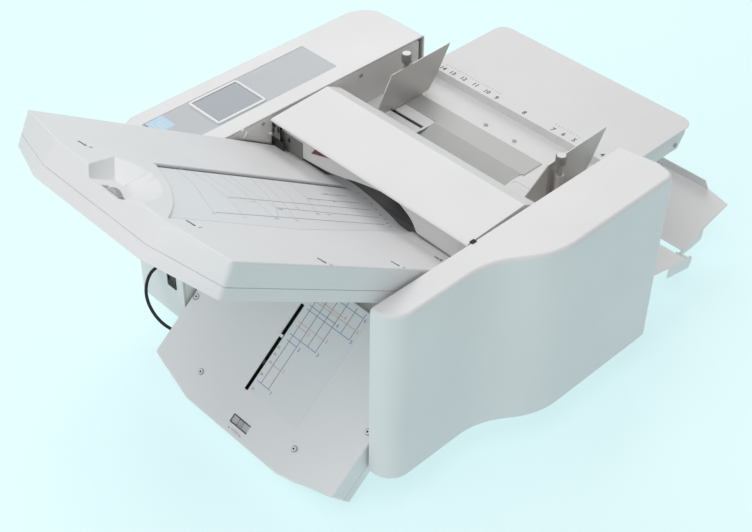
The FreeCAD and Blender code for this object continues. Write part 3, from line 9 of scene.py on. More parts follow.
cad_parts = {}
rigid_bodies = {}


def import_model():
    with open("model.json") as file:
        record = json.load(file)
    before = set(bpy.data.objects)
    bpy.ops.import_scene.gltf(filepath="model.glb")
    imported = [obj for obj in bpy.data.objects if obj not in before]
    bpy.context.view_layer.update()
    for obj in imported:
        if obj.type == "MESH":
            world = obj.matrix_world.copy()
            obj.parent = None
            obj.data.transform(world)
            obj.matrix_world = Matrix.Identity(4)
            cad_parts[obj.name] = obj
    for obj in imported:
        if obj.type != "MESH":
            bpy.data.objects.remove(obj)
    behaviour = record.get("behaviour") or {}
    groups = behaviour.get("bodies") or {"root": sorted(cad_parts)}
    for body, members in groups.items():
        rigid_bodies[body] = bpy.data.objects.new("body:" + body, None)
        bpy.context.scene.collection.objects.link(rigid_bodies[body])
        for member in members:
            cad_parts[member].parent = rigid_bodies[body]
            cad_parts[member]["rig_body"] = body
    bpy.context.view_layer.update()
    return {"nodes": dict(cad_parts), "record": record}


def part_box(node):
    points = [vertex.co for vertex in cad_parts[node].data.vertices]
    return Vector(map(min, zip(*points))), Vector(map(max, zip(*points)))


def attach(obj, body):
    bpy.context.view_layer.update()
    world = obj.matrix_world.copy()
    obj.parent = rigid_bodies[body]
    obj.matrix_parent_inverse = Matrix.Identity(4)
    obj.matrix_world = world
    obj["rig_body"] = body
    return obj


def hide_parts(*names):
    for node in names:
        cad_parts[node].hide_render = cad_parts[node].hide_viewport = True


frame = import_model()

NODES = frame["nodes"]
MM = 0.001

# The machine is drawn in millimetres with Y = 0 on the paper's centre line, and its frame is centred over
# the origin: the near side frame's inner face and lower left corner give the shift.
INNER_HALF = 175.5
FRAME_START = 3.3
SHIFT_X = round(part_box("near_side_frame")[0].x / MM - FRAME_START, 3)
SHIFT_Y = round(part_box("near_side_frame")[1].y / MM + INNER_HALF, 3)


def at(x, y, z):
    """A point given in the machine's own millimetres, in the frame's metres."""
    return Vector(((x + SHIFT_X) * MM, (y + SHIFT_Y) * MM, z * MM))


def linked(name, data):
    """A new object of this data, in the scene."""
    made = bpy.data.objects.new(name, data)
    bpy.context.scene.collection.objects.link(made)
    return made


# ---------------------------------------------------------------- camera
LENS_MM = 66.58
SENSOR_MM = 36
CAMERA_AT = (-1.01739, -0.9855, 1.3393)
HEADING = math.radians(45.56)
LOOK_DOWN = math.radians(40.93)
ROLL = math.radians(0.70)


def make_camera():
    """A camera a little above the near left corner, looking down on the buckle plates."""
    forward = Vector((math.cos(LOOK_DOWN) * math.cos(HEADING), math.cos(LOOK_DOWN) * math.sin(HEADING),
                      -math.sin(LOOK_DOWN)))
    right = forward.cross(Vector((0, 0, 1))).normalized()
    up = right.cross(forward)
    turned_right = math.cos(ROLL) * right + math.sin(ROLL) * up
    turned_up = -math.sin(ROLL) * right + math.cos(ROLL) * up
    data = bpy.data.cameras.new("Camera")
    data.lens = LENS_MM
    data.sensor_width = SENSOR_MM
    data.clip_start = 0.05
    data.clip_end = 50
    camera = linked("Camera", data)
    basis = Matrix((turned_right, turned_up, -forward)).transposed()
    camera.matrix_world = Matrix.Translation(CAMERA_AT) @ basis.to_4x4()
    bpy.context.scene.camera = camera


# ---------------------------------------------------------------- node trees
class Sock:
    """A socket that Python's operators turn into Math nodes of its tree."""

    def __init__(self, nodes, value):
        self.nodes = nodes
        self.value = value

    def __add__(self, other):
        return self.nodes.math("ADD", self, other)

    def __sub__(self, other):
        return self.nodes.math("SUBTRACT", self, other)

    def __rsub__(self, other):
        return self.nodes.math("SUBTRACT", other, self)

    def __mul__(self, other):
        return self.nodes.math("MULTIPLY", self, other)

    def __truediv__(self, other):
        return self.nodes.math("DIVIDE", self, other)

    def __rtruediv__(self, other):
        return self.nodes.math("DIVIDE", other, self)

    def __abs__(self):
        return self.nodes.math("ABSOLUTE", self)

    def __lt__(self, other):
        return self.nodes.math("LESS_THAN", self, other)

    def __gt__(self, other):
        return self.nodes.math("GREATER_THAN", self, other)

    __radd__ = __add__
    __rmul__ = __mul__


def inner(value):
    """The plain socket inside a wrapped one; anything else as it is."""
    return value.value if isinstance(value, Sock) else value


def coloured(value):
    """A plain colour with its alpha; anything else as it is."""
    value = inner(value)
    return (*value, 1) if isinstance(value, tuple) and len(value) == 3 else value


class Nodes:
    """A node tree being written, with short calls for its nodes, links and maths."""

    def __init__(self, tree):
        self.tree = tree

    def feed(self, socket, value):
        """Link a socket to the value, or set it."""
        value = inner(value)
        if isinstance(value, bpy.types.NodeSocket):
            self.tree.links.new(value, socket)
        else:
            socket.default_value = value

    def node(self, kind, settings=None, **sockets):
        """Any node: its settings first, then its sockets by name with _ for a space."""
        made = self.tree.nodes.new(kind)
        for key, value in (settings or {}).items():
            setattr(made, key, value)
        for key, value in sockets.items():
            wanted = key.replace("_", " ")
            for socket in made.inputs:
                if socket.name == wanted and socket.enabled:
                    self.feed(socket, value)
                    break
            else:
                raise KeyError("%s has no socket %s" % (kind, wanted))
        return made

    def math(self, operation, *values):
        """A Math node on numbers and sockets."""
        made = self.tree.nodes.new("ShaderNodeMath")
        made.operation = operation
        for socket, value in zip(made.inputs, values):
            self.feed(socket, value)
        return Sock(self, made.outputs[0])


# A Mix node's number, vector and colour sockets share their names, so the colour ones go by their places.
MIX_INPUTS = (0, 6, 7)
MIX_OUTPUT = 2
EDGE_SAMPLES = 4
EDGE_GAIN = 1.6


class Paint(Nodes):
    """One material being written, with its Principled shader."""

    def __init__(self, name):
        self.material = bpy.data.materials.new(name)
        self.material.use_nodes = True
        super().__init__(self.material.node_tree)
        self.shader = self.tree.nodes["Principled BSDF"]
        self.object = self.node("ShaderNodeTexCoord").outputs["Object"]

    def mapped(self, scale):
        """Object coordinates, stretched."""
        return self.node("ShaderNodeMapping", Vector=self.object, Scale=scale).outputs[0]

    def noise(self, scale, detail=3.0, rough=0.5, vector=None):
        """Soft noise between 0 and 1."""
        made = self.node("ShaderNodeTexNoise", Vector=vector or self.object, Scale=scale, Detail=detail,
                         Roughness=rough)
        return Sock(self, made.outputs["Fac"])

    def mix(self, factor, low, high):
        """A colour mix; low and high are colours or links."""
        made = self.tree.nodes.new("ShaderNodeMix")
        made.data_type = "RGBA"
        for place, value in zip(MIX_INPUTS, (factor, low, high)):
            self.feed(made.inputs[place], coloured(value))
        return made.outputs[MIX_OUTPUT]

    def clamp(self, value):
        """The value held between 0 and 1."""
        return Sock(self, self.node("ShaderNodeClamp", Value=value).outputs[0])

    def edges(self, reach):
        """1 on an outer edge, 0 on flats, from the shape's own corners."""
        bevel = self.node("ShaderNodeBevel", {"samples": EDGE_SAMPLES}, Radius=reach)
        flat = self.node("ShaderNodeNewGeometry")
        apart = self.node("ShaderNodeVectorMath", {"operation": "DISTANCE"})
        for socket, normal in zip(apart.inputs, (bevel.outputs["Normal"], flat.outputs["Normal"])):
            self.feed(socket, normal)
        return self.clamp(Sock(self, apart.outputs["Value"]) * EDGE_GAIN)

    def bump(self, height, strength, distance):
        """Raise the surface by a height, given in metres at full strength."""
        made = self.node("ShaderNodeBump", Height=height, Strength=strength, Distance=distance)
        self.feed(self.shader.inputs["Normal"], made.outputs["Normal"])

    def finish(self, colour, rough, metal=0.0, **plain):
        """Feed the main sockets and set the plain ones."""
        for socket, value in (("Base Color", colour), ("Roughness", rough), ("Metallic", metal)):
            self.feed(self.shader.inputs[socket], coloured(value))
        for key, value in plain.items():
            self.shader.inputs[key.replace("_", " ")].default_value = value
        return self.material


# ---------------------------------------------------------------- finishes
def shade(tint, by, lift=0.0):
    """A darker or lighter tint, white at most."""
    return tuple(min(1.0, c * by + lift) for c in tint)


def moulded(name, tint, rough=0.42, grain=0.00012):
    """Fine spark-eroded plastic: a soft grain, faint mottling, edges rubbed a little smoother and lightened in
    colour as a painted highlight on the rims.
    """
    paint = Paint(name)
    cloud = paint.noise(9.0, detail=2.0)
    grit = paint.noise(2600.0, detail=2.0, rough=0.6)
    # Edges: lighter in colour as a painted highlight on the rims, and a little smoother from rubbing wear.
    edge_wear_and_highlight = paint.edges(0.0012)
    colour = paint.mix(paint.clamp(cloud * 1.6 - 0.3), tint, shade(tint, 0.955))
    colour = paint.mix(edge_wear_and_highlight * 0.35, colour, shade(tint, 1.06))
    paint.bump(grit, 0.22, grain)
    return paint.finish(colour, paint.clamp(rough + (cloud - 0.5) * 0.12 - edge_wear_and_highlight * 0.08), IOR=1.5)


def powder(name, tint, rough=0.5):
    """Powder-coated sheet: orange peel, faint handling marks."""
    paint = Paint(name)
    peel = paint.noise(900.0, detail=2.0)
    cloud = paint.noise(6.0)
    handled = paint.noise(38.0, detail=4.0, rough=0.7, vector=paint.mapped((1, 2.2, 1)))
    marks = paint.clamp((handled - 0.56) * 6.0)
    colour = paint.mix(cloud, tint, shade(tint, 0.94))
    colour = paint.mix(marks * 0.10, colour, shade(tint, 0.8))
    paint.bump(peel, 0.28, 0.0001)
    return paint.finish(colour, paint.clamp(rough + (handled - 0.5) * 0.16), IOR=1.5)


BRUSHED_ALONG = {"y": (700, 6, 700), "z": (700, 700, 6)}


def brushed(name, tint, along, rough, metal=1.0):
    """Brushed or rolled metal with its grain along one axis."""
    paint = Paint(name)
    lines = paint.noise(1.0, detail=4.0, rough=0.6, vector=paint.mapped(BRUSHED_ALONG[along]))
    cloud = paint.noise(14.0)
    # Edges: lighter in colour, partly rubbed bright metal and partly a painted highlight.
    edge_wear_and_highlight = paint.edges(0.0008)
    colour = paint.mix(paint.clamp(lines * 0.7 + cloud * 0.35), shade(tint, 0.86), tint)
    colour = paint.mix(edge_wear_and_highlight * 0.3, colour, shade(tint, 1.12))
    paint.bump(lines, 0.05, 0.00003)
    return paint.finish(colour, paint.clamp(rough + (lines - 0.5) * 0.1 + (cloud - 0.5) * 0.1), metal)


def rubber(name, tint):
    """Matt rubber or soft vinyl with a dusty bloom."""
    paint = Paint(name)
    grit = paint.noise(1500.0, detail=2.0, rough=0.6)
    bloom = paint.clamp((paint.noise(24.0) - 0.45) * 2.0)
    colour = paint.mix(bloom * 0.4, tint, shade(tint, 1.5, 0.02))
    paint.bump(grit, 0.3, 0.00012)
    return paint.finish(colour, paint.clamp(0.72 + bloom * 0.12), IOR=1.5)


def printed_ink(name, tint):
    """Screen-printed ink, a little uneven in strength."""
    paint = Paint(name)
    patchy = paint.noise(420.0, detail=2.0)
    colour = paint.mix(paint.clamp(patchy * 1.4 - 0.4), tint, shade(tint, 1.25, 0.05))
    paint.bump(patchy, 0.1, 0.00002)
    return paint.finish(colour, paint.clamp(0.5 + (patchy - 0.5) * 0.2))


# Each finish has its maker, its tint and what else the maker takes.
FINISHES = {
    "housing_white": (moulded, (0.80, 0.80, 0.81)),
    "sheet_white": (powder, (0.76, 0.76, 0.76)),
    "tray_white": (powder, (0.88, 0.88, 0.88)),
    "frame_grey": (powder, (0.85, 0.84, 0.82)),
    "bracket_black": (powder, (0.03, 0.03, 0.032)),
    "stainless": (brushed, (0.58, 0.56, 0.54), "z", 0.42, 0.55),
    "bright_steel": (brushed, (0.50, 0.50, 0.51), "y", 0.42),
    "roller_grey": (rubber, (0.16, 0.16, 0.17)),
    "gear_plastic": (moulded, (0.72, 0.71, 0.66), 0.4),
    "black_plastic": (moulded, (0.022, 0.022, 0.024), 0.45),
    "wheel_grey": (moulded, (0.50, 0.51, 0.52), 0.4),
    "panel_blue_grey": (powder, (0.52, 0.55, 0.57), 0.45),
    "bezel_white": (moulded, (0.82, 0.83, 0.84)),
    "screen_glass": (moulded, (0.30, 0.33, 0.37), 0.12, 0.00001),
    "board_green": (moulded, (0.02, 0.14, 0.06), 0.35),
    "scale_film": (moulded, (0.775, 0.785, 0.80), 0.35),
    "rubber_black": (rubber, (0.018, 0.018, 0.02)),
    "motor_grey": (brushed, (0.35, 0.35, 0.36), "y", 0.4),
    "guide_steel": (brushed, (0.48, 0.48, 0.475), "y", 0.5, 0.3),
    "guard_white": (powder, (0.82, 0.82, 0.81)),
    "bracket_grey": (powder, (0.40, 0.40, 0.385)),
    "charcoal": (powder, (0.15, 0.15, 0.15), 0.6),
    "hinge_grey": (powder, (0.23, 0.23, 0.22)),
    "tab_red": (moulded, (0.20, 0.035, 0.06), 0.4),
    "label_blue": (moulded, (0.46, 0.66, 0.82), 0.3, 0.00002),
    "knob_steel": (brushed, (0.46, 0.46, 0.465), "z", 0.38, 0.7),
    "ink_grey": (printed_ink, (0.30, 0.31, 0.34)),
    "ink_pale": (printed_ink, (0.52, 0.53, 0.56)),
    "ink_black": (printed_ink, (0.05, 0.05, 0.055)),
    "ink_blue": (printed_ink, (0.22, 0.31, 0.50)),
    "ink_red": (printed_ink, (0.68, 0.42, 0.42)),
}

# Nodes whose own finish differs from the rest of their slot.
OWN_FINISH = {"inner_guard": "guard_white", "upper_stop": "wheel_grey", "panel_screws": "bracket_grey",
              "delivery_tray": "tray_white", "delivery_deck": "tray_white"}
SLOT_OF = {part["node"]: part["material_slot"] for part in frame["record"]["subparts"]}


def finish_of(name):
    """The finish that a node wears: its own, or its slot's."""
    return OWN_FINISH.get(name, SLOT_OF[name])


def dress_nodes():
    """Make every finish, and give each carried-over node its own."""
    made = {name: make(name, *look) for name, (make, *look) in FINISHES.items()}
    for name in SLOT_OF:
        NODES[name].data.materials.clear()
        NODES[name].data.materials.append(made[finish_of(name)])
    return made


# ---------------------------------------------------------------- pieces
WELD = 2e-6                          # corners this close, in metres, are one
FLAT_WITHIN = math.radians(0.4)      # faces that bend less than this are one
FOLD_FROM = math.radians(8)          # an edge that bends more can have a radius of its own
SHARP_FROM = math.radians(30)        # an edge that bends more is rounded
WIDEST_ROUND = 6.0                   # the bevel's weights are shares of this radius
SHEET_ROUND = 0.2


def place_piece(piece, slot, *replaced, body="root"):
    """Ride a finished piece on its body, and hide the nodes it replaces."""
    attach(piece, body)
    if replaced:
        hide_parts(*replaced)
    return piece


def stand_in(piece, name):
    """Put a finished piece in a node's place, on the node's body."""
    return place_piece(piece, SLOT_OF[name], name, body=NODES[name]["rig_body"])


def plain_mesh(obj, name):
    """Bake an object's modifiers into a plain mesh object that sits at the origin."""
    bpy.context.view_layer.update()
    graph = bpy.context.evaluated_depsgraph_get()
    mesh = bpy.data.meshes.new_from_object(obj.evaluated_get(graph))
    mesh.name = name
    bpy.data.objects.remove(obj)
    return linked(name, mesh)


def from_bmesh(shape, name, finish):
    """A drawn shape as a mesh object with its finish."""
    mesh = bpy.data.meshes.new(name)
    shape.to_mesh(mesh)
    shape.free()
    mesh.materials.append(finish)
    return linked(name, mesh)


def outward(shape, name, finish):
    """A drawn shape as a mesh object, its faces turned outwards first."""
    bmesh.ops.recalc_face_normals(shape, faces=shape.faces)
    return from_bmesh(shape, name, finish)


def rounded(piece, width, name):
    """A small piece with its edges rounded over."""
    bevel = piece.modifiers.new("round", "BEVEL")
    bevel.width = width * MM
    bevel.segments = 2
    return plain_mesh(piece, name)


def welded(name):
    """A node's mesh with its corners merged and its flat faces joined."""
    shape = bmesh.new()
    shape.from_mesh(NODES[name].data)
    bmesh.ops.remove_doubles(shape, verts=shape.verts, dist=WELD)
    bmesh.ops.dissolve_limit(shape, angle_limit=FLAT_WITHIN, verts=shape.verts, edges=shape.edges)
    return shape


def portion(name, new_name, finish, keep):
    """Some of a node's solids again; keep is asked about the x of each face's middle."""
    shape = welded(name)
    gone = [face for face in shape.faces if not keep(face.calc_center_median().x / MM - SHIFT_X)]
    bmesh.ops.delete(shape, geom=gone, context="FACES")
    return rounded(from_bmesh(shape, new_name + "_solid", finish), SHEET_ROUND, new_name)


def softened(name, width, rim=None):
    """The node again with its edges rounded over; rim(edge) gives some edges a radius of their own."""
    shape = welded(name)
    weight = shape.edges.layers.float.new("bevel_weight_edge")
    for edge in shape.edges:
        if len(edge.link_faces) == 2 and edge.calc_face_angle() > FOLD_FROM:
            own = rim(edge) if rim else None
            if own or edge.calc_face_angle() > SHARP_FROM:
                edge[weight] = (own or width) / WIDEST_ROUND
    piece = from_bmesh(shape, name + "_soft", finishes[finish_of(name)])
    for face in piece.data.polygons:
        face.use_smooth = True
    bevel = piece.modifiers.new("round", "BEVEL")
    bevel.width = WIDEST_ROUND * MM
    bevel.segments = 3
    bevel.limit_method = "WEIGHT"
    bevel.use_clamp_overlap = False
    bevel.miter_outer = "MITER_ARC"
    weigh = piece.modifiers.new("weigh", "WEIGHTED_NORMAL")
    weigh.keep_sharp = True
    return stand_in(plain_mesh(piece, name + "_shell"), name)


# ---------------------------------------------------------------- places
def tilted(start_x, start_z, slope, lean):
    """Places on a tilted plate: u along it, v across, w out of its top face; lean is -1 where it climbs."""
    run, rise = math.cos(math.radians(slope)), math.sin(math.radians(slope))

    def place(u, v, w=0.0):
        return at(start_x + u * run + lean * w * rise, v, start_z - lean * u * rise + w * run)
    return place


def level_with(height):
    """Places on a level face: u along the machine, v across it and w up."""
    def place(u, v, w=0.0):
        return at(u, v, height + w)
    return place


UPPER_START_X, UPPER_START_Z, UPPER_SLOPE = 17.7, 367.7, 32.5
LOWER_START_X, LOWER_START_Z, LOWER_SLOPE = 92, 174.2, 40
DECK_TOP, TABLE_TOP, PANEL_TOP = 261, 274, 321.4

on_upper = tilted(UPPER_START_X, UPPER_START_Z, UPPER_SLOPE, 1)
on_lower = tilted(LOWER_START_X, LOWER_START_Z, LOWER_SLOPE, -1)
on_deck = level_with(DECK_TOP)
on_table = level_with(TABLE_TOP)
on_panel = level_with(PANEL_TOP)


def stand(piece, place, spot, turn=None):
    """Move a small mesh, made round its own origin in metres, to a spot and a surface's slope."""
    axes = [(place(*step) - place(0, 0, 0)) / MM for step in ((1, 0, 0), (0, 1, 0), (0, 0, 1))]
    matrix = Matrix.Translation(spot) @ Matrix(axes).transposed().to_4x4()
    piece.data.transform(matrix @ turn if turn else matrix)
    return piece


# ---------------------------------------------------------------- grown pieces
class Tree(Nodes):
    """One geometry tree being written: its named inputs, its nodes and its ending."""

    def __init__(self, name, **inputs):
        super().__init__(bpy.data.node_groups.new(name, "GeometryNodeTree"))
        self.tree.is_modifier = True
        face = self.tree.interface
        for flow in ("OUTPUT", "INPUT"):
            face.new_socket("Geometry", in_out=flow, socket_type="NodeSocketGeometry")
        self.identifiers = {}
        for key, value in inputs.items():
            kind = "NodeSocketInt" if isinstance(value, int) else "NodeSocketFloat"
            made = face.new_socket(key, in_out="INPUT", socket_type=kind)
            made.default_value = value
            self.identifiers[key] = made.identifier
        self.entry = self.node("NodeGroupInput")

    def given(self, key):
        """One of the tree's named inputs."""
        return Sock(self, self.entry.outputs[key])

    def vector(self, x, y, z):
        """A vector from three numbers or sockets."""
        return self.node("ShaderNodeCombineXYZ", X=x, Y=y, Z=z).outputs[0]

    def grow(self, geometry, finish, points=(), **sizes):
        """End the tree, run it on a few points with these sizes, and return the plain mesh object."""
        real = self.node("GeometryNodeRealizeInstances", Geometry=geometry)
        dressed = self.node("GeometryNodeSetMaterial", Geometry=real.outputs[0], Material=finish)
        self.node("NodeGroupOutput", Geometry=dressed.outputs[0])
        mesh = bpy.data.meshes.new(self.tree.name)
        mesh.from_pydata(list(points) or [(0, 0, 0)], [], [])
        grown = linked(self.tree.name, mesh)
        modifier = grown.modifiers.new("grow", "NODES")
        modifier.node_group = self.tree
        for key, value in sizes.items():
            modifier[self.identifiers[key]] = value
        return plain_mesh(grown, self.tree.name)


CORNERS_PER_RIB = 6
BARREL_RINGS = 8
RIM_FROM = 0.45          # as a share of the length, from the middle
LONG_TICK_EVERY = 5
LONG_TICK_MORE = 0.8


def ribbed_wheel(name, finish, **sizes):
    """A wheel round its own z axis with ribs cut into its rim and both rims chamfered."""
    tree = Tree(name, Radius=0.015, Length=0.008, Ribs=36, Depth=0.0007, Chamfer=0.0006)
    ribs, length, radius = tree.given("Ribs"), tree.given("Length"), tree.given("Radius")
    barrel = tree.node("GeometryNodeMeshCylinder", {"fill_type": "NGON"}, Vertices=ribs * CORNERS_PER_RIB,
                       Side_Segments=BARREL_RINGS, Radius=radius, Depth=length)
    spot = tree.node("ShaderNodeSeparateXYZ", Vector=tree.node("GeometryNodeInputPosition").outputs[0])
    x, y, z = (Sock(tree, output) for output in spot.outputs)
    wave = 0.5 - tree.math("COSINE", tree.math("ARCTAN2", y, x) * ribs) * 0.5
    ends = abs(z) > length * RIM_FROM
    cut = (wave * tree.given("Depth") + ends * tree.given("Chamfer")) / radius
    shrink = tree.vector(x * cut * -1, y * cut * -1, 0.0)
    shaped = tree.node("GeometryNodeSetPosition", Geometry=barrel.outputs["Mesh"], Offset=shrink)
    return tree.grow(shaped.outputs[0], finish, **sizes)


def studs(name, finish, points, **sizes):
    """The same low many-sided stud on every point, standing along z."""
    tree = Tree(name, Sides=20, Radius=0.003, Height=0.001)
    stud = tree.node("GeometryNodeMeshCylinder", {"fill_type": "NGON"}, Vertices=tree.given("Sides"),
                     Radius=tree.given("Radius"), Depth=tree.given("Height"))
    copies = tree.node("GeometryNodeInstanceOnPoints", Points=tree.entry.outputs["Geometry"],
                       Instance=stud.outputs["Mesh"])
    return tree.grow(copies.outputs[0], finish, points, **sizes)


def ruler(name, finish, **sizes):
    """A row of ticks along y, every fifth one longer."""
    tree = Tree(name, Count=21, Pitch=0.005, Tall=0.004, Wide=0.0006, Thick=0.00012)
    tall = tree.given("Tall")
    tick = tree.node("GeometryNodeMeshCube", Size=tree.vector(tall, tree.given("Wide"), tree.given("Thick")))
    line = tree.node("GeometryNodeMeshLine", Count=tree.given("Count"),
                     Offset=tree.vector(0.0, tree.given("Pitch") * -1, 0.0))
    index = Sock(tree, tree.node("GeometryNodeInputIndex").outputs[0])
    stretch = 1 + (tree.math("MODULO", index, LONG_TICK_EVERY) < 0.5) * LONG_TICK_MORE
    copies = tree.node("GeometryNodeInstanceOnPoints", Points=line.outputs[0], Instance=tick.outputs["Mesh"],
                       Scale=tree.vector(stretch, 1.0, 1.0))
    return tree.grow(copies.outputs[0], finish, **sizes)


def joined(name, finish, *pieces):
    """Several small meshes of one finish as one piece."""
    shape = bmesh.new()
    for piece in pieces:
        shape.from_mesh(piece.data)
        bpy.data.objects.remove(piece)
    return from_bmesh(shape, name, finish)


# ---------------------------------------------------------------- drawn pieces
def walls(shape, one, two):
    """The faces between two rings of corners."""
    for k in range(len(one)):
        following = (k + 1) % len(one)
        shape.faces.new((one[k], one[following], two[following], two[k]))


def ribbons(name, finish, place, level, lines, width, thick=0.1):
    """Thin closed strips that lie on a surface along the lines given."""
    shape = bmesh.new()
    for line in lines:
        points = [Vector(point) for point in line]
        rings = []
        for index, point in enumerate(points):
            along = (points[min(index + 1, len(points) - 1)] - points[max(index - 1, 0)]).normalized()
            side = Vector((-along.y, along.x)) * width / 2
            rings.append([shape.verts.new(place(corner.x, corner.y, level + lift))
                          for corner, lift in ((point + side, thick), (point - side, thick),
                                               (point - side, 0), (point + side, 0))])
        for one, two in zip(rings, rings[1:]):
            walls(shape, one, two)
        shape.faces.new(rings[0][::-1])
        shape.faces.new(rings[-1])
    return outward(shape, name, finish)


PRINT_HALF = 0.05        # half the thickness of a numeral
PRINT_SPREAD = 0.02      # how far its strokes spread, as a share of its size


def numerals(name, finish, place, level, marks, size):
    """Small numerals lying on a surface; each mark is a text and its middle."""
    shape = bmesh.new()
    for text, u, v in marks:
        data = bpy.data.curves.new(name, "FONT")
        data.body = text
        data.size = size
        data.extrude = PRINT_HALF
        data.offset = size * PRINT_SPREAD
        data.align_x = data.align_y = "CENTER"
        data.resolution_u = 2
        letters = plain_mesh(linked(name, data), name + "_letters")
        for vertex in letters.data.vertices:
            x, y, z = vertex.co
            vertex.co = place(u + y, v - x, level + PRINT_HALF + z)
        shape.from_mesh(letters.data)
        bpy.data.objects.remove(letters)
    bmesh.ops.remove_doubles(shape, verts=shape.verts, dist=1e-7)
    return outward(shape, name, finish)


BLOCK_SIDES = ((0, 2, 3, 1), (4, 5, 7, 6), (0, 1, 5, 4), (2, 6, 7, 3), (0, 4, 6, 2), (1, 3, 7, 5))


def blocks(name, finish, place, sizes, soft=0.3):
    """Small closed blocks, each given by its three spans, with softened edges."""
    shape = bmesh.new()
    for spans in sizes:
        corners = [shape.verts.new(place(u, v, w)) for w in spans[2] for v in spans[1] for u in spans[0]]
        for side in BLOCK_SIDES:
            shape.faces.new([corners[k] for k in side])
    return rounded(outward(shape, name + "_blocks", finish), soft, name)


OVAL_CORNERS = 24
OVAL_THICK = 0.3


def ovals(name, finish, place, spots, level):
    """Low oval studs on a surface, each given by its middle and its two half lengths."""
    shape = bmesh.new()
    turns = [math.tau * k / OVAL_CORNERS for k in range(OVAL_CORNERS)]
    for u, v, half_u, half_v in spots:
        low, high = ([shape.verts.new(place(u + half_u * math.cos(turn), v + half_v * math.sin(turn), height))
                      for turn in turns] for height in (level, level + OVAL_THICK))
        shape.faces.new(low[::-1])
        shape.faces.new(high)
        walls(shape, low, high)
    return outward(shape, name, finish)


def cut_sheet(name, finish, outline, faces):
    """A flat sheet that stands across the machine, from its outline in y and z and its two faces' x."""
    shape = bmesh.new()
    front, back = ([shape.verts.new(at(x, y, z)) for y, z in outline] for x in faces)
    shape.faces.new(front)
    shape.faces.new(back)
    walls(shape, front, back)
    return outward(shape, name, finish)


# ---------------------------------------------------------------- signal lead
LEAD_ROUTE = [(3, 224.5, 132), (-10, 224.5, 132), (-22, 222, 125), (-31, 217, 112), (-34.5, 209.5, 97),
              (-33, 200, 81), (-27, 191, 66), (-19, 183.5, 56), (-18, 172.6, 54)]
LEAD_DIAMETER = 0.0045


def signal_lead(finish):
    """The black lead from the far housing into the side of the lower plate."""
    data = bpy.data.curves.new("signal_lead", "CURVE")
    data.dimensions = "3D"
    spline = data.splines.new("NURBS")
    spline.points.add(len(LEAD_ROUTE) - 1)
    for point, place in zip(spline.points, LEAD_ROUTE):
        point.co = (*at(*place), 1)
    spline.order_u = 3
    spline.use_endpoint_u = True
    data.bevel_depth = LEAD_DIAMETER / 2
    data.bevel_resolution = 6
    data.resolution_u = 12
    data.materials.append(finish)
    lead = linked("signal_lead", data)
    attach(lead, "root")
    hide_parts("plate_lead")
    tuple(at(*LEAD_ROUTE[0]))


# ---------------------------------------------------------------- rounded shells
# Each rounded node and the radius of its edges.
ROUNDED = {
    "near_cover": 0.9, "far_cover": 0.9, "lower_bottom_shell": 1.2,
    "top_cover": 0.5, "feed_table": 0.5, "near_guide": 0.3, "far_guide": 0.3, "delivery_deck": 0.4,
    "delivery_tray": 0.4,
}
# A fold plate's shells: where they lie, the radius of their edges, and the one of their side rims.
PLATE_SHELLS = {"upper_top_shell": (on_upper, 1.5, 2.6), "upper_bottom_shell": (on_upper, 0.5, 0.5),
                "lower_top_shell": (on_lower, 1.4, 2.6)}
PLATE_CORNER = 4.0
CORNER_REACH, SIDE_REACH = 150, 171      # how far from the middle a plate's corners and side rims begin


def plate_rim(place, side):
    """Tell a plate's upright corners and its two side rims from the rest of its edges."""
    origin = place(0, 0, 0)
    out = (place(0, 0, 1) - origin).normalized()
    across = (place(0, 1, 0) - origin).normalized()

    def rim(edge):
        tilts = [face.normal.dot(out) for face in edge.link_faces]
        start, end = (vertex.co for vertex in edge.verts)
        middle = (start + end) / 2 - origin
        reach = abs(middle.dot(across)) / MM
        upright_faces = sum(1 for tilt in tilts if abs(tilt) < 0.1)
        if upright_faces == 2 and reach > CORNER_REACH and abs((start - end).normalized().dot(out)) > 0.99:
            return PLATE_CORNER
        if upright_faces == 1 and max(tilts) > 0.95 and reach > SIDE_REACH and abs(middle.dot(out)) / MM < 0.5:
            return side
        return None
    return rim


def housings_and_plates():
    """The housings, sheets and fold plates with their edges rounded over, by name."""
    made = {name: softened(name, width) for name, width in ROUNDED.items()}
    for name, (place, width, side) in PLATE_SHELLS.items():
        made[name] = softened(name, width, plate_rim(place, side))
    return made


# ---------------------------------------------------------------- guides and wheels
GUIDE_SHEET_FROM = 237.1
ROLLER_1 = (199.85, 225.55)
# A charcoal sheet curved over the first fold roller, and its lip: painted shade over the roller and the gap under
# the guard's arch.
SHADE_SHEET_RADIUS = 15.2
SHADE_SHEET_TURNS = range(146, 47, -7)
SHADE_SHEET_MIDDLE, SHADE_SHEET_WIDTH, SHADE_SHEET_THICK = 8.5, 179, 0.7
SHADE_SHEET_LIP = ((209.6, 214.1), (-81, 98), (236.6, 237.5))


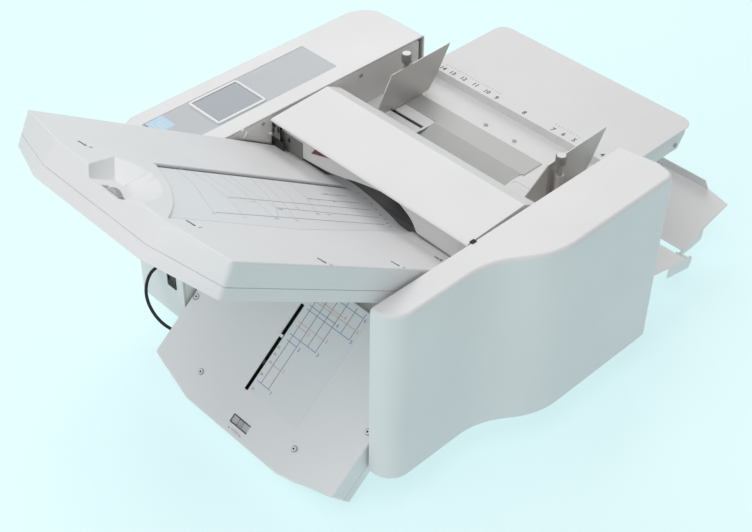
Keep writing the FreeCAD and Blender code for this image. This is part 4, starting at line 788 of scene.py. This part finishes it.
def guide_sheet_pieces():
    """The stainless guide sheet, the charcoal deflector, and a charcoal sheet with a lip curved over the first
    fold roller under the guard's arch, painted shade.
    """
    plate = portion("guide_sheet", "guide_plate", finishes["guide_steel"], lambda x: x > GUIDE_SHEET_FROM)
    place_piece(plate, "stainless", "guide_sheet")
    deflector = portion("guide_sheet", "paper_deflector", finishes["charcoal"], lambda x: x < GUIDE_SHEET_FROM)
    place_piece(deflector, "stainless", "guide_sheet")

    def round_roller(turn, v, w=0.0):
        angle, reach = math.radians(turn), SHADE_SHEET_RADIUS + w
        return at(ROLLER_1[0] + reach * math.cos(angle), v, ROLLER_1[1] + reach * math.sin(angle))

    # The charcoal sheet over the roller and its lip: painted shade.
    place_piece(ribbons("roller_shade_sheet", finishes["charcoal"], round_roller, 0.0,
                        [[(turn, SHADE_SHEET_MIDDLE) for turn in SHADE_SHEET_TURNS]], SHADE_SHEET_WIDTH, SHADE_SHEET_THICK), "stainless")
    place_piece(blocks("shade_sheet_lip", finishes["charcoal"], level_with(0), [SHADE_SHEET_LIP], soft=0.1), "stainless")


GUARD_ARCH = [(-80, 273), (-77.5, 275), (-69.5, 287), (-58.5, 295), (-43.5, 302), (-25.5, 302), (1.5, 297),
              (28.5, 291), (48.5, 285), (80, 278)]
ARCH_STEPS = 6
GUARD_SIDE, GUARD_FOOT, GUARD_TOP = 166, 271, 308
GUARD_FACES = (171.4, 172.6)


def smooth_curve(points, steps):
    """Points along a smooth curve through the ones given."""
    curve = []
    for index in range(len(points) - 1):
        before, start, end, after = (Vector(points[min(max(index + step, 0), len(points) - 1)])
                                     for step in (-1, 0, 1, 2))
        for t in (k / steps for k in range(steps)):
            curve.append(start + ((end - before) * t + (2 * before - 5 * start + 4 * end - after) * t * t
                                  + (3 * start - before - 3 * end + after) * t ** 3) / 2)
    return [*curve, points[-1]]


def guard_sheet():
    """The grey guard sheet with its arch drawn as one smooth curve."""
    outline = [(-GUARD_SIDE, GUARD_TOP), (-GUARD_SIDE, GUARD_FOOT), *smooth_curve(GUARD_ARCH, ARCH_STEPS),
               (GUARD_SIDE, GUARD_FOOT), (GUARD_SIDE, GUARD_TOP)]
    stand_in(cut_sheet("guard_sheet", finishes["guard_white"], outline, GUARD_FACES), "inner_guard")


ALONG_U = Matrix(((0, 0, 1), (1, 0, 0), (0, 1, 0))).to_4x4()
THUMBWHEELS = (("upper_thumbwheel", on_upper, 0.015), ("lower_thumbwheel", on_lower, 0.016))


def thumbwheels():
    """The two ribbed skew wheels."""
    for name, place, radius in THUMBWHEELS:
        wheel = ribbed_wheel(name + "_ribs", finishes["wheel_grey"], Radius=radius, Length=0.008, Ribs=30,
                             Depth=0.0012)
        low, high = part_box(name)
        stand_in(stand(wheel, place, (low + high) / 2, ALONG_U), name)


# A guide knob's knurled head, collar and shank: ribs, their depth, the radius, the bottom and the top.
KNOB_LENGTHS = ((18, 0.0013, 0.007, 320, 334), (8, 0.0, 0.0038, 305.3, 320), (8, 0.0, 0.0025, 272, 320.5))


def guide_knobs():
    """The knurled screws that lock the side guides."""
    for name in ("near_guide_knob", "far_guide_knob"):
        low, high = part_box(name)
        x, y = (low.x + high.x) / 2, (low.y + high.y) / 2
        parts = []
        for ribs, depth, radius, bottom, top in KNOB_LENGTHS:
            part = ribbed_wheel(name + "_part", finishes["knob_steel"], Radius=radius, Ribs=ribs, Depth=depth,
                                Length=(top - bottom) * MM, Chamfer=0.0005)
            part.data.transform(Matrix.Translation((x, y, (top + bottom) / 2 * MM)))
            parts.append(part)
        stand_in(joined(name + "_turned", finishes["knob_steel"], *parts), name)


# ---------------------------------------------------------------- control panel's end
PANEL_SHIFT = 17.0
PANEL_END = 47.0
SEAT_END_X, SEAT_END_Y, SEAT_FLOOR = (43.5, 46.5), (199, 271), 317.0
SEAL = ((32, 59.5), (240, 268.3), (0, 0.12))
SEAL_LINES = [[(37.5, 244), (37.5, 264)], [(42.5, 244), (42.5, 259)], [(47.5, 244), (47.5, 262)]]
SEAL_EDGE = [[(31.2, 240), (31.2, 268.3)]]


def panel_end(cover):
    """The panel and its seat run on to the housing's left end, with a plain blue seal beside the screen."""
    for vertex in cover.data.vertices:
        x, y, z = vertex.co / MM
        in_span = SEAT_END_X[0] < x - SHIFT_X < SEAT_END_X[1] and SEAT_END_Y[0] < y - SHIFT_Y < SEAT_END_Y[1]
        if in_span and z > SEAT_FLOOR:
            vertex.co.x -= PANEL_SHIFT * MM
    panel = softened("control_panel", 0.2)
    for vertex in panel.data.vertices:
        if vertex.co.x / MM - SHIFT_X < PANEL_END:
            vertex.co.x -= PANEL_SHIFT * MM
    place_piece(blocks("blue_seal", finishes["label_blue"], on_panel, [SEAL], soft=0.04), "bezel_white")
    place_piece(ribbons("seal_lines", finishes["housing_white"], on_panel, 0.08, SEAL_LINES, width=0.7),
                "bezel_white")
    place_piece(ribbons("seal_edge", finishes["ink_black"], on_panel, 0.0, SEAL_EDGE, width=0.9, thick=0.14),
                "bezel_white")


# ---------------------------------------------------------------- scales
# Lines along the lower plate are given by v and their two ends, lines across it by u and their two ends, and
# marks by their text and middle.
LOWER_SLOPE_LINES = [(3.5, -139, 8), (-10.7, -139, 8), (-24, -67, 8), (-38.2, -67, 8), (-53.5, -30.5, 8),
                     (-69, -29.5, 8)]
LOWER_BLUE = [(-139.5, 11, -14), (-76, 7.5, -11.5), (-67.5, 10, -39), (-24, 8, -40), (-30, 8, -69), (1.5, 8, -69)]
LOWER_RED = [(-112, 6, -11.5), (-54.5, 8, -12), (-49, 9, -39.5), (-12, 8, -43), (-16, 8, -69.5)]
LOWER_BLUE_MARKS = [("1", -141.7, -17), ("2", -77.4, -16), ("3", -68.5, -43.5), ("4", -24.7, -43.5),
                    ("5", -30.9, -73), ("6", 0.3, -73)]
LOWER_RED_MARKS = [("1", -111.1, -15.5), ("2", -54.9, -15.5), ("3", -48.6, -43), ("4", -11.5, -46.5),
                   ("5", -16.9, -73)]
LOWER_SLOT_MARKS = [("30", -151, 9.5), ("28", -130, 10.5), ("26", -111, 9.5), ("24", -99.7, 10.5),
                    ("22", -90, 11)]
FILM_TOP = 0.3
GRID_WIDTH, RANGE_WIDTH = 1.1, 1.0
RANGE_TEXT, SLOT_TEXT = 7, 4.5
LOWER_SLOT_U, LOWER_SLOT_WALL = (-157.4, -28.6), (-4.5, -0.15)
LOWER_SLOT_SIDES = ((15.55, 15.75), (20.25, 20.45))
LOWER_INDEX = ((-78.3, -74.3), (15.2, 25), (0.05, 0.7))


def lower_scale():
    """The printed grid of the lower plate's scale, its numerals, and the black slot beside it."""
    def line_set(name, ink, lines, width):
        place_piece(ribbons(name, finishes[ink], on_lower, FILM_TOP, lines, width), "scale_film")

    def mark_set(name, ink, marks, size):
        place_piece(numerals(name, finishes[ink], on_lower, FILM_TOP, marks, size), "scale_film")

    line_set("lower_grid", "ink_grey", [[(start, v), (end, v)] for v, start, end in LOWER_SLOPE_LINES], GRID_WIDTH)
    line_set("lower_blue_lines", "ink_blue", [[(u, far), (u, near)] for u, far, near in LOWER_BLUE], RANGE_WIDTH)
    line_set("lower_red_lines", "ink_red", [[(u, far), (u, near)] for u, far, near in LOWER_RED], RANGE_WIDTH)
    mark_set("lower_blue_marks", "ink_blue", LOWER_BLUE_MARKS, RANGE_TEXT)
    mark_set("lower_red_marks", "ink_red", LOWER_RED_MARKS, RANGE_TEXT)
    mark_set("lower_slot_marks", "ink_grey", LOWER_SLOT_MARKS, SLOT_TEXT)
    lining = blocks("lower_slot_lining", finishes["black_plastic"], on_lower,
                    [(LOWER_SLOT_U, side, LOWER_SLOT_WALL) for side in LOWER_SLOT_SIDES], soft=0.05)
    place_piece(lining, "black_plastic")
    place_piece(blocks("lower_index", finishes["housing_white"], on_lower, [LOWER_INDEX]), "housing_white")


UPPER_LINES = [
    [(-84, -11.2), (173, -8.4)], [(-143, -54.8), (152, -50)], [(-21.4, -28.3), (164, -30.2)],
    [(68.6, 7.4), (172, 10)], [(114, 26.3), (166.7, 27.9)],
]
UPPER_CURVES = [
    [(-107.4, 52.3), (-107.8, 35.2), (-114.6, 11.1), (-131, -22), (-145.4, -53.5)],
    [(-85.9, 54), (-82, 25), (-87.3, -11.6), (-91.5, -30.6), (-104.2, -57)],
    [(-66.3, 53.4), (-66.2, 23.2), (-64, -6.4), (-55, -19)],
    [(-41.2, 53.6), (-40, 23.5), (-44.7, -16.3), (-48.2, -37), (-52, -57)],
    [(-25.8, 52), (-26.6, 16.5), (-23.2, -21), (-18.5, -56)],
    [(10.9, 50.2), (-4.6, 4.5), (-22, -28), (-43.7, -53)],
    [(30, 53.5), (12.4, 3.2), (-2, -28), (-17.2, -57)],
    [(50.4, 54), (37.6, 6.9), (15.1, -31)],
    [(78.8, 54), (71.8, 15.9), (43.4, -35)],
]
UPPER_GREY_MARKS = [("1", 195, 50), ("2", 204, 42), ("3", 204, 28), ("4", 199, 13), ("5", 189, -4.5),
                    ("6", 178, -22), ("7", 172, -33), ("8", 164, -45), ("9", 160, -54)]
UPPER_RED_MARKS = [("1", -105, -61), ("2", -49.6, -17.5), ("3", 18, -23), ("4", -18, -59), ("5", 87, 5.5)]
UPPER_BLUE_MARKS = [("1", -148, -57), ("2", -50.7, -57.5), ("3", -18.3, -31.6), ("4", 41.8, -35.3),
                    ("5", 63.4, -34.6), ("6", 117.6, 6.3), ("7", 71.9, 7.9), ("8", 124.7, 28)]
DECK_SINK = -2.7
LONG_LINE_WIDTH, CURVE_WIDTH, UPPER_TEXT = 1.35, 0.85, 8
SLIT_U = (-134.5, 208)
# Dark grey strips on the slit's two walls below the deck: painted shade inside the slit.
SLIT_SHADE_STRIPS = [(SLIT_U, (57.5, 57.7), (-5.2, -3.1)), (SLIT_U, (55.3, 55.5), (-5.2, -3.2))]


def upper_scale():
    """The printed scale on the upper plate's sunk deck, and dark grey strips on the slit's walls below the deck,
    painted shade in the slit.
    """
    def put(piece):
        place_piece(piece, "scale_film")

    put(ribbons("upper_long_lines", finishes["ink_grey"], on_upper, DECK_SINK, UPPER_LINES, LONG_LINE_WIDTH))
    put(ribbons("upper_curves", finishes["ink_pale"], on_upper, DECK_SINK, UPPER_CURVES, CURVE_WIDTH))
    put(blocks("slit_shade_strips", finishes["ink_grey"], on_upper, SLIT_SHADE_STRIPS, soft=0.04))
    for name, ink, marks in (("upper_grey_marks", "ink_grey", UPPER_GREY_MARKS),
                             ("upper_red_marks", "ink_red", UPPER_RED_MARKS),
                             ("upper_blue_marks", "ink_blue", UPPER_BLUE_MARKS)):
        put(numerals(name, finishes[ink], on_upper, DECK_SINK, marks, UPPER_TEXT))


TABLE_MARKS = [("14", 455, 150), ("13", 455, 132), ("12", 456, 112), ("11", 457, 90), ("10", 456, 68),
               ("9", 454.5, 49), ("8", 455.5, -0.5), ("7", 454, -52), ("6", 455.5, -69), ("5", 455.5, -87),
               ("4", 457, -133)]
TABLE_TICKS = (("table_ticks_far", 152, 21), ("table_ticks_near", -48, 9))
TABLE_TICKS_X = 466
TABLE_TEXT = 10.5


def table_scale():
    """Two short rows of ticks and numerals along the feed table's machine end."""
    place_piece(numerals("table_marks", finishes["ink_black"], on_table, 0.02, TABLE_MARKS, TABLE_TEXT),
                "sheet_white")
    for name, start, count in TABLE_TICKS:
        ticks = ruler(name, finishes["ink_grey"], Count=count, Pitch=0.005, Tall=0.003)
        place_piece(stand(ticks, on_table, on_table(TABLE_TICKS_X, start, 0.06)), "sheet_white")


# ---------------------------------------------------------------- dial window
DIAL_RIM = [[(-190.2, -20.4), (-190.2, 11.2)], [(-190.2, 10.8), (-200.8, 10.8)],
            [(-200.8, 11.2), (-200.8, -20.4)]]
DIAL_FLOOR_U, DIAL_FLOOR_W = (-200.5, -190.5), (-1.6, -0.9)
DIAL_FLOOR_SIDES = ((0.6, 9.9), (-18.9, -9.6))
DIAL_BARS = [[(-207.2, 3.5), (-207.2, 0.5)], [(-208.8, -1), (-205.8, -1)], [(-209, -3.4), (-205.6, -3.4)],
             [(-209.4, -5.8), (-205.2, -5.8)], [(-209, -8.2), (-205.6, -8.2)], [(-208.8, -10.6), (-205.8, -10.6)]]
DIAL_DOTS = ((-207.6, 7.2), (-207.7, -13.9))


def dial_window_pieces():
    """The thin black rim round the lower wheel, open at its near end, its floor, and the marks below it."""
    rim = ribbons("dial_rim", finishes["black_plastic"], on_lower, 0.0, DIAL_RIM, width=1.2, thick=0.4)
    place_piece(rim, "black_plastic", "dial_window")
    floor = [(DIAL_FLOOR_U, side, DIAL_FLOOR_W) for side in DIAL_FLOOR_SIDES]
    place_piece(blocks("dial_fill", finishes["wheel_grey"], on_lower, floor, soft=0.1), "black_plastic")
    place_piece(ribbons("dial_bars", finishes["ink_grey"], on_lower, 0.02, DIAL_BARS, width=0.8), "black_plastic")
    dots = studs("dial_dots", finishes["ink_black"], [on_lower(u, v, 0.03) for u, v in DIAL_DOTS],
                 Sides=16, Radius=0.0011, Height=0.0003)
    place_piece(dots, "black_plastic")


# ---------------------------------------------------------------- fasteners
LOWER_SCREWS = [(-176.4, 91), (-176.8, -90.2), (-103.3, 164.7), (-104.8, -162.2)]
# Each layer of a lower screw: its finish, its level and its stud's sizes.
SCREW_LAYERS = {
    "lower_screw_seats": ("ink_grey", 0.05, {"Radius": 0.0044, "Height": 0.0003}),
    "lower_screw_heads": ("bezel_white", 0.7, {"Radius": 0.0032, "Height": 0.0012}),
    # The black six-sided studs on the heads stand in for the screws' sockets: painted shade.
    "lower_screw_recesses": ("black_plastic", 1.3, {"Sides": 6, "Radius": 0.0016, "Height": 0.0003}),
}
CLIPS = [(-214, 90), (-213, -91), (-85, -160), (43, -159)]
LATCH_SCREW = (147.5, -140)
# A flat black strip by the latch screw: painted shade of the latch's notch.
LATCH_NOTCH_SHADE = [(146, -146.5), (154, -143.5)]


def local_studs(name, finish, place, spots, level, **sizes):
    """Studs that stand on a sloping face."""
    piece = studs(name, finish, [(u * MM, v * MM, level * MM) for u, v in spots], **sizes)
    return stand(piece, place, place(0, 0, 0))


def fasteners():
    """The lower plate's screws, snap clips on the upper plate and the screw and notch of its latch; the clips'
    grooves, the latch's notch and the screws' sockets are black marks painted as shade.
    """
    for name, (finish, level, sizes) in SCREW_LAYERS.items():
        place_piece(local_studs(name, finishes[finish], on_lower, LOWER_SCREWS, level, **sizes), "bright_steel")
    # Black strips lying flat on the top face: painted shade of the clips' notches.
    groove_shades = [[(u - 1.5, v + 5), (u, v - 0.5), (u + 0.4, v - 6.5)] for u, v in CLIPS]
    place_piece(ribbons("clip_groove_shades", finishes["ink_black"], on_upper, -0.02, groove_shades, width=3.0, thick=0.14),
                "housing_white")
    tabs = [((u + 1.8, u + 7), (v - 10, v - 2.5), (-0.6, 1.3)) for u, v in CLIPS]
    place_piece(blocks("clip_tabs", finishes["housing_white"], on_upper, tabs), "housing_white")
    place_piece(local_studs("latch_screw", finishes["bright_steel"], on_upper, [LATCH_SCREW], 0.4,
                            Radius=0.003, Height=0.0012), "bright_steel")
    place_piece(ribbons("latch_notch_shade", finishes["ink_black"], on_upper, 0.0, [LATCH_NOTCH_SHADE], width=2.2, thick=0.15),
                "black_plastic")


# ---------------------------------------------------------------- feed deck
SLOT_X = (342.1, 347.9)
FAR_RAIL = (SLOT_X, (82.1, 159.9), (-2.6, -1.4))
NEAR_RAIL = (SLOT_X, (-159.9, -82.1), (-1.6, -0.4))
APRON_X, APRON_Y, APRON_W = (262, 338.9), (79, 175), (-1.2, 0)
LEDGE_X, LEDGE_Y, LEDGE_W = (296, 372), (79.5, 95), (-8.2, -7.2)


def on_both_sides(x, y, w):
    """The same block on the far side and on the near one."""
    return [(x, (y[0] * side, y[1] * side), w) for side in (1, -1)]


def deck_slots():
    """What lines the feed deck's two slots, the ledges below them, and aprons that run on under the lid."""
    place_piece(blocks("deck_slot_rails", finishes["black_plastic"], on_deck, [FAR_RAIL], soft=0.1),
                "bracket_black")
    white = [NEAR_RAIL, *on_both_sides(APRON_X, APRON_Y, APRON_W), *on_both_sides(LEDGE_X, LEDGE_Y, LEDGE_W)]
    place_piece(blocks("deck_aprons", finishes["sheet_white"], on_deck, white, soft=0.1), "sheet_white")


# ---------------------------------------------------------------- hinge end
BRACKET_FACE = 162.9
BOOT = ((151, 175.3), (274, 288.3), (0, 2.4))
HINGE_PLATE = [((160, 168), (288.5, 308.5), (0, 0.5)), ((167.8, 175.2), (288.5, 303.2), (0, 0.5)),
               ((126, 168), (270.3, 297.5), (-8.4, -7.6))]
# Black ovals on the far bracket stand in for its holes: their black is painted shade.
PLATE_OVALS, PLATE_FACE = [(172.1, 298.6, 2.2, 4), (162.6, 303, 2.4, 5)], 0.45
SET_BACK_OVAL, SET_BACK_FACE = [(151.3, 289.6, 2, 3.6)], -7.6
PLATE_RAIL = [((113, 165), (173.4, 175.2), (0.6, 5.2)), ((113, 114.4), (171.5, 175.2), (5, 12))]
RAIL_GAPS = [[(96, 171.2), (168, 171.2)], [(181.2, -83), (181.2, -169)]]
RAIL_PINS = [((104.2, 107.8), (172, 175.4), (10.6, 14.2)), ((157, 160.4), (172, 175.4), (12.2, 15.6))]
RED_TAB = [(107.9, 292.4), (100.5, 302.5), (84.7, 303.3), (64.1, 303.6), (77.7, 301.6)]
RED_TAB_FACES = (169.4, 171.3)
COVER_TOP = 321.7
# A black block at the lid's near end: painted shade of the gap between the lid and the near cover.
LID_GAP_SHADE = ((160, 167.5), (-178, -172.4), (0, 1.6))


def hinge_end():
    """Black boots, the far bracket's plate with black ovals painted as the shade in its holes, the plate's rail
    and pins, the red tab, and a black block painted as the shadowed gap at the lid's near end.
    """
    def bracket(side):
        def place(u, v, w=0.0):
            return at(BRACKET_FACE - w, u * side, v)
        return place

    far = bracket(1)
    for side, name in ((1, "far_hinge_boot"), (-1, "near_hinge_boot")):
        place_piece(blocks(name, finishes["black_plastic"], bracket(side), [BOOT], soft=1.0), "bracket_black")
    place_piece(blocks("far_hinge_plate", finishes["hinge_grey"], far, HINGE_PLATE, soft=0.15), "bracket_black")
    # The bracket's holes as black ovals: painted shade.
    holes = joined("far_hinge_holes", finishes["black_plastic"],
                   ovals("far_hinge_ovals", finishes["black_plastic"], far, PLATE_OVALS, PLATE_FACE),
                   ovals("far_hinge_oval", finishes["black_plastic"], far, SET_BACK_OVAL, SET_BACK_FACE))
    place_piece(holes, "bracket_black")
    place_piece(blocks("plate_rail", finishes["guard_white"], on_upper, PLATE_RAIL, soft=0.4), "housing_white")
    place_piece(ribbons("rail_shadow_gap", finishes["black_plastic"], on_upper, 0.0, RAIL_GAPS, width=1.8),
                "black_plastic")
    place_piece(blocks("rail_pins", finishes["bezel_white"], on_upper, RAIL_PINS, soft=0.8), "housing_white")
    place_piece(cut_sheet("red_tab", finishes["tab_red"], RED_TAB, RED_TAB_FACES), "black_plastic")
    # The black block is painted shade of the gap at the lid's near end.
    place_piece(blocks("lid_gap_shade", finishes["rubber_black"], level_with(COVER_TOP), [LID_GAP_SHADE], soft=0.7),
                "rubber_black")


# ---------------------------------------------------------------- studio
# Each lamp: its place, its size in metres and its power in watts.
LAMPS = {
    "top": ((-1.0, -0.2, 2.7), 2.4, 33),
    "back": ((2.2, 2.0, 2.2), 2.5, 45),
    "left": ((-3.0, 0.5, 2.0), 2.5, 18),
}
LAMPS_AIM = Vector((0, 0, 0.2))
WORLD_STRENGTH = 0.33
FLOOR_REACH = 12.0
FLOOR_TINTS = (0.33, 0.41, 0.41), (0.32, 0.40, 0.40)
FLOOR_GLOW = (0.49, 0.635, 0.65, 1)


def studio():
    """A pale glowing floor, a soft white world and three large soft lamps."""
    bpy.context.scene.view_settings.view_transform = "Standard"
    world = bpy.data.worlds.new("Studio")
    bpy.context.scene.world = world
    world.use_nodes = True
    background = world.node_tree.nodes["Background"].inputs
    background["Color"].default_value = (1, 1, 1, 1)
    background["Strength"].default_value = WORLD_STRENGTH
    mesh = bpy.data.meshes.new("floor")
    corners = [(x * FLOOR_REACH, y * FLOOR_REACH, 0) for x, y in ((-1, -1), (1, -1), (1, 1), (-1, 1))]
    mesh.from_pydata(corners, [], [(0, 1, 2, 3)])
    floor = linked("floor", mesh)
    paint = Paint("floor")
    tint = paint.mix(paint.noise(2.0), *FLOOR_TINTS)
    mesh.materials.append(paint.finish(tint, 0.9, Emission_Color=FLOOR_GLOW, Emission_Strength=1.0))
    for name, (place, size, watts) in LAMPS.items():
        data = bpy.data.lights.new(name, "AREA")
        data.energy = watts
        data.size = size
        lamp = linked(name, data)
        lamp.location = place
        lamp.rotation_euler = (LAMPS_AIM - Vector(place)).to_track_quat("-Z", "Y").to_euler()


make_camera()
finishes = dress_nodes()
signal_lead(finishes["rubber_black"])
shells = housings_and_plates()
guide_sheet_pieces()
guard_sheet()
thumbwheels()
guide_knobs()
panel_end(shells["far_cover"])
lower_scale()
upper_scale()
table_scale()
dial_window_pieces()
fasteners()
deck_slots()
hinge_end()
studio()
